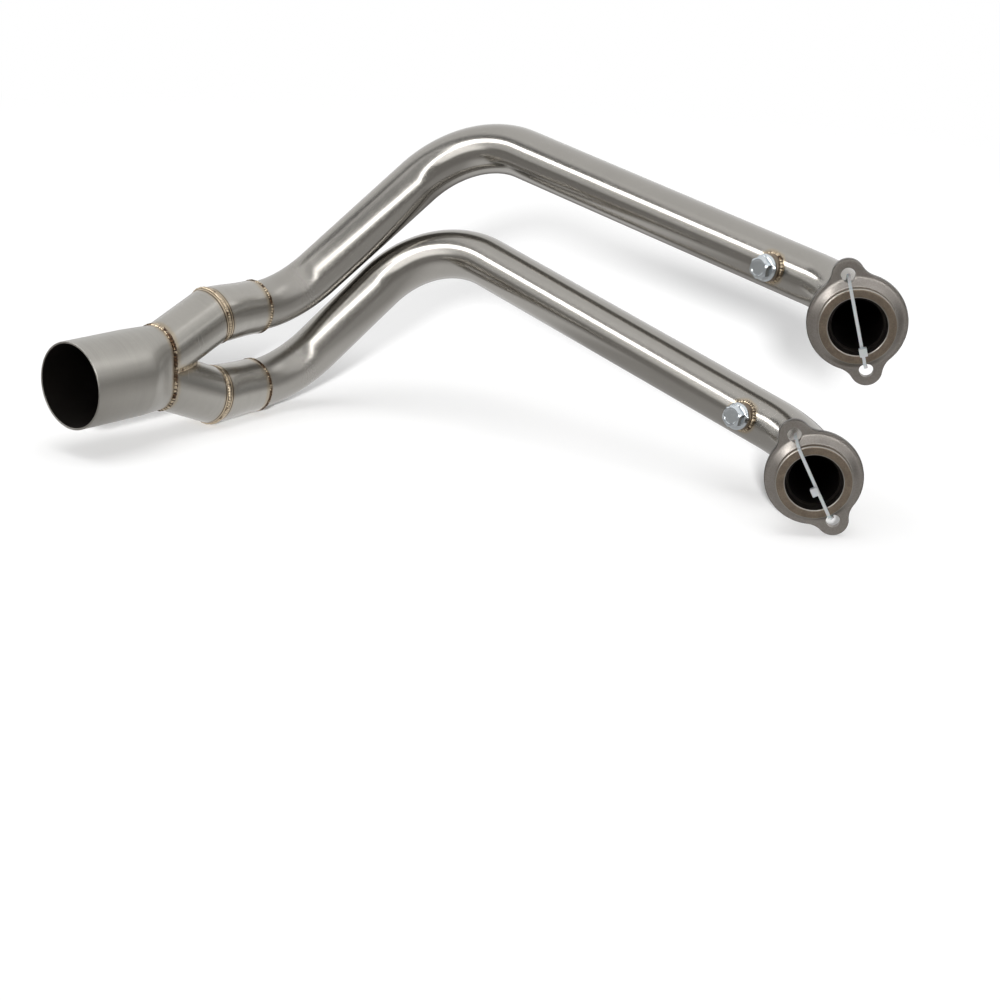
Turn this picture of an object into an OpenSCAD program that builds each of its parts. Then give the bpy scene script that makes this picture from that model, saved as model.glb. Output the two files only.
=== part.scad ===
// Two-into-one motorcycle exhaust header: two bent primary pipes run from
// loose port flanges into tapered sleeves, two mitred legs and one outlet tube.
// X runs from the outlet mouth towards the legs, Z is up, the mouth centre is the origin.
// The letters a and b name the upper and the lower branch.

/* [Outlet] */
// Outside diameter of the outlet tube
outlet_d = 60; // [56:0.5:66]
// Length of the outlet tube, mouth to legs
outlet_len = 76; // [66:1:110]
// Length over which its far end is pressed from round to oval
oval_len = 26; // [20:1:34]

/* [Merge] */
// Outside diameter of the merge legs
leg_d = 40; // [39:0.5:43]
// Height of each leg's axis above or below the outlet axis where they meet the tube
leg_offset = 8; // [6:0.5:9]
// Angle between each leg and the outlet axis
leg_splay = 22; // [19:0.5:26]
// Length of each leg along its axis
leg_len = 55; // [50:1:70]
// Length of the tapered sleeves
sleeve_len = 42; // [36:1:55]
// Length of pipe pushed into each sleeve
sleeve_grip = 12; // [8:1:16]

/* [Primary pipes] */
// Outside diameter of the primary pipes
pipe_d = 35; // [33:0.5:36]
// Wall of every tube
wall = 1.5; // [1.2:0.1:2]
// Centreline radius of the bends next to the sleeves
merge_bend_r = 60; // [50:1:62]
// Centreline radius of the main bends
main_bend_r = 70; // [56:1:80]
// Centreline radius of the bends behind the port flanges
port_bend_r = 70; // [56:1:72]
// Distance from each sleeve to the corner of the first bend
merge_lead = 34; // [33:1:45]
// Distance from each flange face to the corner of the last bend
port_lead = 57; // [56:1:80]

/* [Upper pipe] */
// Main bend corner of the upper pipe, along X from the sleeve end
main_a_x = 144; // [130:1:170]
// Main bend corner of the upper pipe, along Y
main_a_y = -75; // [-90:1:-60]
// Main bend corner of the upper pipe, height above its sleeve axis
main_a_z = 121; // [110:1:140]
// Port centre of the upper pipe, along X from its main bend corner
port_a_x = -68; // [-90:1:-50]
// Port centre of the upper pipe, along Y from its main bend corner
port_a_y = -376; // [-460:1:-330]
// Port centre of the upper pipe, height from its main bend corner
port_a_z = -60; // [-75:1:-45]

/* [Lower pipe] */
// Main bend corner of the lower pipe, along X from the sleeve end
main_b_x = 120; // [112:1:140]
// Main bend corner of the lower pipe, along Y
main_b_y = -63; // [-75:1:-50]
// Main bend corner of the lower pipe, height above its sleeve axis
main_b_z = 106; // [98:1:120]
// Port centre of the lower pipe, along X from its main bend corner
port_b_x = -55; // [-75:1:-40]
// Port centre of the lower pipe, along Y from its main bend corner
port_b_y = -373; // [-460:1:-330]
// Port centre of the lower pipe, height from its main bend corner
port_b_z = -89; // [-105:1:-75]

/* [Ports] */
// Direction in which both port faces look, turned from X in plan
port_heading = 215.5; // [212:0.5:220]
// Tilt of both port faces, below level
port_dip = 4; // [0:0.5:8]
// Outside diameter of the collar rim
rim_d = 48.5; // [46:0.5:51]
// Mouth bore of the collar
port_bore_d = 36.5; // [36.5:0.25:38]
// Depth of the mouth bore, in front of the pipe end
port_bore_depth = 6; // [4:0.5:8]
// Thickness of the collar rim
rim_t = 4; // [3:0.5:5]
// Wall of the collar hub round the pipe
hub_wall = 2; // [1.5:0.25:2.5]
// Length of the collar hub behind the rim
hub_len = 12; // [11:0.5:14]

/* [Port flanges] */
// Diameter of the round body of a flange
flange_d = 62.5; // [60:0.5:66]
// Spacing of the two stud holes
stud_spacing = 62.5; // [60:0.5:68]
// Diameter of the stud holes
stud_hole_d = 9; // [8:0.5:10]
// Radius of the ears round the stud holes
ear_r = 10; // [9:0.5:11]
// Radius of the hollow between body and ear
ear_blend_r = 14; // [10:0.5:20]
// Sheet thickness of a flange
flange_t = 4; // [3:0.5:5]
// Height by which the middle of a flange is pressed forward
dish_h = 4.5; // [3.5:0.5:5]
// Width of the slope round the pressed middle
dish_slope = 3.5; // [2.5:0.25:4.5]
// Gap between a flange and the collar hub
flange_gap = 0.5; // [0.3:0.1:1]
// Turn of the upper flange on its pipe
ear_turn_a = 15; // [0:1:45]
// Turn of the lower flange on its pipe
ear_turn_b = 27; // [0:1:45]

/* [Sensor plugs] */
// Distance of the upper plug from the last bend's corner
plug_a_back = 56; // [50:1:90]
// Distance of the lower plug from the last bend's corner
plug_b_back = 47; // [47:1:90]
// Clock position of both plugs round their pipes
plug_clock = -4; // [-30:1:30]
// Outside diameter of a boss
boss_d = 18; // [16:0.5:20]
// Height of a boss above the pipe
boss_h = 3.5; // [3:0.5:6]
// Thread diameter of a plug
plug_d = 8; // [8:0.5:10]
// Size of a plug's hex head across flats
plug_af = 13; // [12:0.5:14]
// Diameter of the flange under the hex
plug_flange_d = 18; // [17:0.5:21]
// Height of a plug's head with its flange
plug_head_h = 8; // [7:0.5:10]
// Thickness of a sealing washer
washer_t = 1.5; // [1:0.25:2]
// Outside diameter of a sealing washer
washer_d = 16; // [14:0.5:17]

/* [Welds] */
// Radius of the bead round the outlet tube
bead_r = 1.8; // [1.4:0.1:2.4]
// Radius of the beads on the legs, sleeves, bosses and collars
small_bead_r = 1.5; // [1.2:0.1:2]
// Height of the crotch bead over the legs
crotch_bead_h = 1.2; // [0.8:0.1:2]

/* [Hidden] */
$fn = 96;

// Clearances and cutting overrun
slip = 0.1;
over = 1;
big = 300;

// Gap between the straights and bends of a pipe, and how proud the bands over it stand
joint_gap = 0.1;
joint_proud = 0.02;

// Gap that the weld fills between the end faces of a leg and its sleeve
root_gap = 0.2;

// Depth to which the centre of a bead sits below the surface of its tube
bead_sink = 0.5;

// Thickness of the slices that a hull is stretched between
slice_t = 0.01;

// Finishes
steel = [0.62, 0.60, 0.57];
dull_steel = [0.50, 0.47, 0.43];
zinc = [0.75, 0.77, 0.80];
straw = [0.62, 0.50, 0.34];

// Radii that follow from the diameters
outlet_r = outlet_d / 2;
leg_r = leg_d / 2;
pipe_r = pipe_d / 2;
sleeve_end_r = pipe_r + wall;
hub_r = pipe_r + hub_wall;
flange_hole_r = hub_r + flange_gap;
flange_r = flange_d / 2;

// Half of the straight side of the oval end, so that it covers both slanted legs
oval_half = leg_offset + leg_r * (1 / cos(leg_splay) - 1);

// Sleeve stations along X from the mitre: parallel land, taper, parallel grip
sleeve_land = 8;

// Directions and places of one branch, s = 1 for the upper and -1 for the lower
function leg_dir(s) = [cos(leg_splay), 0, s * sin(leg_splay)];
function leg_root(s) = [outlet_len, 0, s * leg_offset];
function mitre_at(s) = leg_root(s) + leg_len * leg_dir(s);
function mitre_dir(s) = unit(leg_dir(s) + [1, 0, 0]);
function sleeve_end(s) = mitre_at(s) + [sleeve_len, 0, 0];

// Port axis, pointing out of the pipe
port_dir = [cos(port_heading) * cos(port_dip), sin(port_heading) * cos(port_dip), -sin(port_dip)];

function main_corner(s) = sleeve_end(s)
    + (s > 0 ? [main_a_x, main_a_y, main_a_z] : [main_b_x, main_b_y, main_b_z]);
function port_centre(s) = main_corner(s)
    + (s > 0 ? [port_a_x, port_a_y, port_a_z] : [port_b_x, port_b_y, port_b_z]);
function port_corner(s) = port_centre(s) - port_lead * port_dir;

// Distance from the flange face forward to the front of the collar and to the pipe end
collar_front = dish_h + rim_t;
pipe_front = collar_front - port_bore_depth;

// Corner points of a primary pipe, from inside the sleeve to its end in the collar
function pipe_points(s) = [
    sleeve_end(s) - [sleeve_grip, 0, 0],
    sleeve_end(s) + [merge_lead, 0, 0],
    main_corner(s),
    port_corner(s),
    port_centre(s) + pipe_front * port_dir
];
bend_radii = [merge_bend_r, main_bend_r, port_bend_r];

// Direction of the long straight of a pipe, and the place of its plug on the centreline
function run_dir(s) = unit(port_corner(s) - main_corner(s));
function plug_at(s) = port_corner(s) - (s > 0 ? plug_a_back : plug_b_back) * run_dir(s);
function plug_dir(s) = clocked(run_dir(s), port_dir, plug_clock);

// Vector helpers
function unit(v) = v / norm(v);
function across(v, axis) = unit(v - (v * axis) * axis);
function clocked(axis, towards, angle) =
    let (u = across(towards, axis), w = cross(axis, u)) cos(angle) * u + sin(angle) * w;

// Matrix of a frame at a place, its Z along a direction and its X as near as can be to another
function frame(place, z, x = [0, 0, 1]) =
    let (k = unit(z), i = across(x, k), j = cross(k, i)) [
        [i[0], j[0], k[0], place[0]],
        [i[1], j[1], k[1], place[1]],
        [i[2], j[2], k[2], place[2]],
        [0, 0, 0, 1]
    ];

// Everything on the far side of a plane
module beyond(place, direction) {
    multmatrix(frame(place, direction, [0, 1, 0]))
        translate([-big / 2, -big / 2, 0])
            cube(big);
}

// Solid round bar between two points
module bar(p, q, r) {
    multmatrix(frame(p, q - p, [0, 1, 0]))
        cylinder(h = norm(q - p), r = r);
}

module ring_section(r_out, r_in) {
    difference() {
        circle(r = r_out);
        circle(r = r_in);
    }
}

// Bent tube through corner points, with a straight between each pair of bends
function turn(points, i) =
    acos(unit(points[i] - points[i - 1]) * unit(points[i + 1] - points[i]));
function reach(points, i) =
    i == 0 || i == len(points) - 1 ? 0 : bend_radii[i - 1] * tan(turn(points, i) / 2);

module straight(points, i, r_out, r_in) {
    d = unit(points[i + 1] - points[i]);
    near = i == 0 ? 0 : reach(points, i) + joint_gap;
    far = i == len(points) - 2 ? 0 : reach(points, i + 1) + joint_gap;
    multmatrix(frame(points[i] + near * d, d, [0, 1, 0]))
        linear_extrude(height = norm(points[i + 1] - points[i]) - near - far)
            ring_section(r_out, r_in);
}

module bend(points, i, r_out, r_in) {
    d_in = unit(points[i] - points[i - 1]);
    inward = across(points[i + 1] - points[i], d_in);
    centre = points[i] - reach(points, i) * d_in + bend_radii[i - 1] * inward;
    multmatrix(frame(centre, cross(-inward, d_in), -inward))
        rotate_extrude(angle = turn(points, i))
            translate([bend_radii[i - 1], 0])
                ring_section(r_out, r_in);
}

// Hair-thin band that bridges the gap between a straight and a bend
module joint_band(place, away, r_out, r_in) {
    multmatrix(frame(place - joint_gap * away, away, [0, 1, 0]))
        linear_extrude(height = 3 * joint_gap)
            ring_section(r_out + joint_proud, r_in - joint_proud);
}

module bent_tube(points, r_out, r_in) {
    for (i = [0 : len(points) - 2]) straight(points, i, r_out, r_in);
    for (i = [1 : len(points) - 2]) {
        bend(points, i, r_out, r_in);
        for (next = [-1, 1]) {
            away = unit(points[i + next] - points[i]);
            joint_band(points[i] + reach(points, i) * away, away, r_out, r_in);
        }
    }
}

// Round weld bead of one ring, standing on the plane z = 0
module bead_ring(ring_r, r = bead_r) {
    rotate_extrude()
        translate([ring_r, 0])
            circle(r = r, $fn = 32);
}

// Outlet tube: round for the clamp, then pressed to the oval that takes both legs
module oval_slice(inset) {
    linear_extrude(height = slice_t)
        for (s = [-1, 1])
            translate([0, s * oval_half])
                circle(r = leg_r - inset, $fn = 72);
}

module round_slice(inset) {
    linear_extrude(height = slice_t)
        circle(r = outlet_r - inset, $fn = 144);
}

module outlet_shape(inset) {
    cylinder(h = outlet_len - oval_len, r = outlet_r - inset);
    translate([0, 0, outlet_len - oval_len])
        hull() {
            round_slice(inset);
            translate([0, 0, oval_len - slice_t])
                oval_slice(inset);
        }
}

module outlet_tube() {
    color(steel)
        multmatrix(frame([0, 0, 0], [1, 0, 0], [0, 1, 0]))
            difference() {
                outlet_shape(0);
                outlet_shape(wall);
                translate([0, 0, -over])
                    cylinder(h = 2 * over, r = outlet_r - wall);
                translate([0, 0, outlet_len - over])
                    hull() {
                        oval_slice(wall);
                        translate([0, 0, 2 * over])
                            oval_slice(wall);
                    }
            }
}

// Outer form of one leg with any radius, cut at the tube end and at the mitre to its sleeve
module leg_bar(s, r) {
    difference() {
        bar(leg_root(s) - leg_len * leg_dir(s), mitre_at(s) + leg_r * leg_dir(s), r);
        beyond([outlet_len, 0, 0], [-1, 0, 0]);
        beyond(mitre_at(s) - root_gap / 2 * mitre_dir(s), mitre_dir(s));
    }
}

module merge_leg(s) {
    color(steel)
        difference() {
            leg_bar(s, leg_r);
            bar(leg_root(s) - leg_len * leg_dir(s) - over * leg_dir(s),
                mitre_at(s) + (leg_r + over) * leg_dir(s), leg_r - wall);
            beyond([0, 0, 0], [0, 0, -s]);
        }
}

// Tapered sleeve: parallel where it is mitred, conical, then parallel over the pipe
module sleeve_profile() {
    grip_start = sleeve_len - sleeve_grip;
    polygon([
        [leg_r - wall, -leg_r],
        [leg_r, -leg_r],
        [leg_r, sleeve_land],
        [sleeve_end_r, grip_start],
        [sleeve_end_r, sleeve_len],
        [pipe_r + slip, sleeve_len],
        [pipe_r + slip, grip_start],
        [leg_r - wall, sleeve_land]
    ]);
}

module before_sleeve(s) {
    beyond(mitre_at(s) + root_gap / 2 * mitre_dir(s), -mitre_dir(s));
}

module taper_sleeve(s) {
    color(steel)
        difference() {
            multmatrix(frame(mitre_at(s), [1, 0, 0], [0, 1, 0]))
                rotate_extrude()
                    sleeve_profile();
            before_sleeve(s);
        }
}

// Primary pipe with the hole for its plug
module primary_pipe(s) {
    color(steel)
        difference() {
            bent_tube(pipe_points(s), pipe_r, pipe_r - wall);
            bar(plug_at(s), plug_at(s) + 2 * pipe_r * plug_dir(s), plug_d / 2 + slip);
        }
}

// Frame of a port: Z out of the pipe, X up, turned by the flange's own turn
module at_port(s, turned = 0) {
    multmatrix(frame(port_centre(s), port_dir))
        rotate([0, 0, turned])
            children();
}

// Turned collar: a rim that seals in the port and a hub that slips over the pipe
module collar_profile() {
    lip = 1;
    polygon([
        [port_bore_d / 2, pipe_front],
        [port_bore_d / 2, collar_front - lip / 2],
        [port_bore_d / 2 + lip, collar_front],
        [rim_d / 2 - lip, collar_front],
        [rim_d / 2, collar_front - lip],
        [rim_d / 2, dish_h],
        [hub_r, dish_h],
        [hub_r, dish_h - hub_len],
        [pipe_r + slip, dish_h - hub_len],
        [pipe_r + slip, pipe_front]
    ]);
}

module port_collar(s) {
    color(dull_steel)
        at_port(s)
            rotate_extrude()
                collar_profile();
}

// Two-ear outline: ears on the stud holes, joined to the body by hollow arcs
module flange_outline() {
    ear_y = stud_spacing / 2;
    side_a = flange_r + ear_blend_r;
    side_b = ear_r + ear_blend_r;
    blend_y = (side_a * side_a - side_b * side_b + ear_y * ear_y) / (2 * ear_y);
    blend_x = sqrt(side_a * side_a - blend_y * blend_y);
    circle(r = flange_r);
    for (end = [-1, 1])
        scale([1, end]) {
            translate([0, ear_y])
                circle(r = ear_r);
            difference() {
                polygon([
                    [0, 0],
                    [blend_x * flange_r / side_a, blend_y * flange_r / side_a],
                    [blend_x, blend_y],
                    [blend_x * ear_r / side_b, ear_y + (blend_y - ear_y) * ear_r / side_b],
                    [0, ear_y],
                    [-blend_x * ear_r / side_b, ear_y + (blend_y - ear_y) * ear_r / side_b],
                    [-blend_x, blend_y],
                    [-blend_x * flange_r / side_a, blend_y * flange_r / side_a]
                ]);
                for (flank = [-1, 1])
                    translate([flank * blend_x, blend_y])
                        circle(r = ear_blend_r);
            }
        }
}

// Pressed middle: its flat reaches a little past the collar rim, then the slope falls away
rim_margin = 0.5;
dish_top_r = rim_d / 2 + rim_margin;
dish_foot_r = dish_top_r + dish_slope;

// Height of the pressed middle at a share of its slope: a soft foot that steepens to a ridge
function rise(t) = dish_h * (1 - cos(90 * t));

module dish_profile(base) {
    steps = 8;
    polygon(concat(
        [[0, base], [dish_foot_r, base]],
        [for (i = [0 : steps])
            [dish_foot_r - dish_slope * i / steps, rise(i / steps)]],
        [[0, dish_h]]
    ));
}

module port_flange(s) {
    color(dull_steel)
        at_port(s, s > 0 ? ear_turn_a : ear_turn_b)
            difference() {
                union() {
                    translate([0, 0, -flange_t])
                        linear_extrude(height = flange_t)
                            rotate([0, 0, 90])
                                flange_outline();
                    rotate_extrude()
                        dish_profile(-flange_t / 2);
                }
                translate([0, 0, -flange_t])
                    rotate_extrude()
                        intersection() {
                            dish_profile(-over);
                            square([dish_top_r, big]);
                        }
                translate([0, 0, -2 * flange_t])
                    cylinder(h = 4 * flange_t, r = flange_hole_r);
                for (end = [-1, 1])
                    translate([end * stud_spacing / 2, 0, -flange_t - over])
                        cylinder(h = flange_t + dish_h + 2 * over, r = stud_hole_d / 2);
            }
}

// Frame of a plug: Z out of the pipe, X along it
module at_plug(s) {
    multmatrix(frame(plug_at(s), plug_dir(s), run_dir(s)))
        children();
}

boss_top = pipe_r + boss_h;
head_base = boss_top + washer_t;

module sensor_boss(s) {
    color(dull_steel)
        difference() {
            at_plug(s)
                cylinder(h = boss_top, r = boss_d / 2);
            bar(plug_at(s) - boss_d * run_dir(s), plug_at(s) + boss_d * run_dir(s), pipe_r);
            at_plug(s)
                cylinder(h = boss_top + over, r = plug_d / 2 + slip);
        }
}

module plug_washer(s) {
    color(zinc)
        at_plug(s)
            translate([0, 0, boss_top])
                difference() {
                    cylinder(h = washer_t, r = washer_d / 2);
                    translate([0, 0, -over])
                        cylinder(h = washer_t + 2 * over, r = plug_d / 2 + slip);
                }
}

// Hex plug: chamfered head on a thin flange, and a shank that ends just inside the pipe
module plug_bolt(s) {
    hex_r = plug_af / 2;
    corner_r = hex_r / cos(30);
    chamfer = corner_r - hex_r;
    skirt_h = 1.2;
    cone_h = 0.9;
    shank_end = pipe_r - 2 * wall;
    color(zinc)
        at_plug(s) {
            translate([0, 0, head_base]) {
                intersection() {
                    cylinder(h = plug_head_h, r = corner_r, $fn = 6);
                    rotate_extrude()
                        polygon([
                            [0, 0],
                            [corner_r, 0],
                            [corner_r, plug_head_h - chamfer],
                            [hex_r - chamfer, plug_head_h],
                            [0, plug_head_h]
                        ]);
                }
                rotate_extrude()
                    polygon([
                        [0, 0],
                        [plug_flange_d / 2, 0],
                        [plug_flange_d / 2, skirt_h],
                        [hex_r, skirt_h + cone_h],
                        [0, skirt_h + cone_h]
                    ]);
            }
            translate([0, 0, shank_end])
                cylinder(h = head_base - shank_end, r = plug_d / 2);
        }
}

// Bead round the oval end of the outlet tube, on the side of the legs
module outlet_bead_stock() {
    bead_at = leg_r - bead_sink;
    multmatrix(frame([outlet_len, 0, 0], [1, 0, 0], [0, 1, 0])) {
        for (s = [-1, 1])
            translate([0, s * oval_half])
                rotate([0, 0, s > 0 ? 0 : 180])
                    rotate_extrude(angle = 180)
                        translate([bead_at, 0])
                            circle(r = bead_r, $fn = 32);
        for (flank = [-1, 1])
            translate([flank * bead_at, -oval_half])
                rotate([-90, 0, 0])
                    cylinder(h = 2 * oval_half, r = bead_r, $fn = 32);
    }
}

module weld_outlet() {
    color(straw)
        difference() {
            outlet_bead_stock();
            beyond([outlet_len, 0, 0], [-1, 0, 0]);
            for (s = [-1, 1]) leg_bar(s, leg_r);
        }
}

// Bead along the seam where the two legs are mitred against each other
module weld_crotch() {
    half_w = 1.5 * crotch_bead_h;
    color(straw)
        difference() {
            intersection() {
                union() {
                    for (s = [-1, 1]) leg_bar(s, leg_r + crotch_bead_h);
                }
                translate([outlet_len, -leg_d, -half_w])
                    cube([2 * leg_len, 2 * leg_d, 2 * half_w]);
            }
            for (s = [-1, 1]) leg_bar(s, leg_r);
            outlet_bead_stock();
        }
}

// Bead round the mitre between a leg and its sleeve, made above and mirrored below
module weld_leg(s) {
    color(straw)
        mirror([0, 0, s > 0 ? 0 : 1])
            difference() {
                multmatrix(frame(mitre_at(1), mitre_dir(1), [0, 1, 0]))
                    bead_ring(leg_r - bead_sink, small_bead_r);
                leg_bar(1, leg_r);
                difference() {
                    bar(mitre_at(1) - leg_r * [1, 0, 0],
                        mitre_at(1) + sleeve_land * [1, 0, 0], leg_r);
                    before_sleeve(1);
                }
            }
}

// Bead in the step between a sleeve and its pipe
module weld_sleeve(s) {
    color(straw)
        multmatrix(frame(sleeve_end(s), [1, 0, 0], [0, 1, 0]))
            rotate_extrude()
                intersection() {
                    translate([pipe_r + wall / 2, 0])
                        circle(r = small_bead_r, $fn = 32);
                    translate([pipe_r, 0])
                        square(2 * bead_r);
                }
}

// Bead round the foot of a boss, following the pipe
module weld_boss(s) {
    reach_along = boss_d * run_dir(s);
    color(straw)
        intersection() {
            at_plug(s)
                translate([0, 0, pipe_r / 2])
                    difference() {
                        cylinder(h = pipe_r, r = boss_d / 2 + small_bead_r);
                        translate([0, 0, -over])
                            cylinder(h = pipe_r + 2 * over, r = boss_d / 2);
                    }
            difference() {
                bar(plug_at(s) - reach_along, plug_at(s) + reach_along, pipe_r + small_bead_r);
                bar(plug_at(s) - 2 * reach_along, plug_at(s) + 2 * reach_along, pipe_r);
            }
        }
}

// Bead behind the collar hub
module weld_port(s) {
    color(straw)
        at_port(s)
            translate([0, 0, dish_h - hub_len])
                rotate_extrude()
                    intersection() {
                        translate([pipe_r + hub_wall / 2, 0])
                            circle(r = small_bead_r, $fn = 32);
                        translate([pipe_r, -2 * bead_r])
                            square(2 * bead_r);
                    }
}

outlet_tube();
merge_leg(1);  // merge_leg_a
merge_leg(-1);  // merge_leg_b
taper_sleeve(1);  // taper_sleeve_a
taper_sleeve(-1);  // taper_sleeve_b
primary_pipe(1);  // primary_pipe_a
primary_pipe(-1);  // primary_pipe_b
port_collar(1);  // port_collar_a
port_collar(-1);  // port_collar_b
port_flange(1);  // port_flange_a
port_flange(-1);  // port_flange_b
sensor_boss(1);  // sensor_boss_a
sensor_boss(-1);  // sensor_boss_b
plug_washer(1);  // plug_washer_a
plug_washer(-1);  // plug_washer_b
plug_bolt(1);  // plug_bolt_a
plug_bolt(-1);  // plug_bolt_b
weld_outlet();
weld_crotch();
weld_leg(1);  // weld_leg_a
weld_leg(-1);  // weld_leg_b
weld_sleeve(1);  // weld_sleeve_a
weld_sleeve(-1);  // weld_sleeve_b
weld_boss(1);  // weld_boss_a
weld_boss(-1);  // weld_boss_b
weld_port(1);  // weld_port_a
weld_port(-1);  // weld_port_b
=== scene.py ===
"""Two-into-one motorcycle exhaust header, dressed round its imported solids."""

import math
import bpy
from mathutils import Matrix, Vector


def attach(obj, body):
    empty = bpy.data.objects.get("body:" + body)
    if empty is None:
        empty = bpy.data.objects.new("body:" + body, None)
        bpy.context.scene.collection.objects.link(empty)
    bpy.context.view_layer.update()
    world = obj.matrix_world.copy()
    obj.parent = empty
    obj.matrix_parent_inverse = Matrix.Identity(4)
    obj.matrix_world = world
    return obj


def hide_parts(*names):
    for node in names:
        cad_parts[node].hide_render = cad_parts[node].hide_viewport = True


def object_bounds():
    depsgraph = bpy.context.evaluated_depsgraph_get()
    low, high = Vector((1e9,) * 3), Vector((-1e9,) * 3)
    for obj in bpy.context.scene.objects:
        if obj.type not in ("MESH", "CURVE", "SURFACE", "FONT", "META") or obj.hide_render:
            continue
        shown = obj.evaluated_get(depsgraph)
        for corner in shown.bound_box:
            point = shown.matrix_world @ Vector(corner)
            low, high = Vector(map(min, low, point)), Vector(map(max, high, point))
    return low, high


bl_info = {
    "name": "Exhaust Header",
    "version": (1, 0, 0),
    "blender": (4, 5, 0),
    "location": "View3D > Sidebar > Header",
    "description": "Bent primary pipes, mitred merge, port flanges, plugs and rippled weld beads of an exhaust header",
    "category": "Add Mesh",
}

import bmesh
import bpy
from bpy.props import FloatProperty, FloatVectorProperty, IntProperty, PointerProperty
from mathutils import Matrix, Vector, noise
from mathutils.kdtree import KDTree

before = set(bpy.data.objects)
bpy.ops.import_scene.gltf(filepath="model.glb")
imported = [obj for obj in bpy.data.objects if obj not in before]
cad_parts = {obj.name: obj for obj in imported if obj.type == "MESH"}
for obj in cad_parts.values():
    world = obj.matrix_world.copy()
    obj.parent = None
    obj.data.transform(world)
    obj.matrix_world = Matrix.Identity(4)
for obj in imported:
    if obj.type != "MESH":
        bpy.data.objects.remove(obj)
CAD_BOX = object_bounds()
MM = 0.001


# ---------------------------------------------------------------- settings


def length(name, description, default):
    """A length setting, given in millimetres and kept in metres."""
    return FloatProperty(
        name=name, description=description, default=default * MM, min=0, subtype="DISTANCE", unit="LENGTH"
    )


def place(name, description, default):
    """An offset setting, given in millimetres and kept in metres."""
    return FloatVectorProperty(
        name=name,
        description=description,
        default=[v * MM for v in default],
        subtype="TRANSLATION",
        unit="LENGTH",
    )


def angle(name, description, default):
    """An angle setting, given in degrees and kept in radians."""
    return FloatProperty(name=name, description=description, default=math.radians(default), subtype="ANGLE", unit="ROTATION")


def colour(name, description, default):
    """A colour setting."""
    return FloatVectorProperty(
        name=name, description=description, default=default, subtype="COLOR", min=0, max=1
    )


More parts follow.
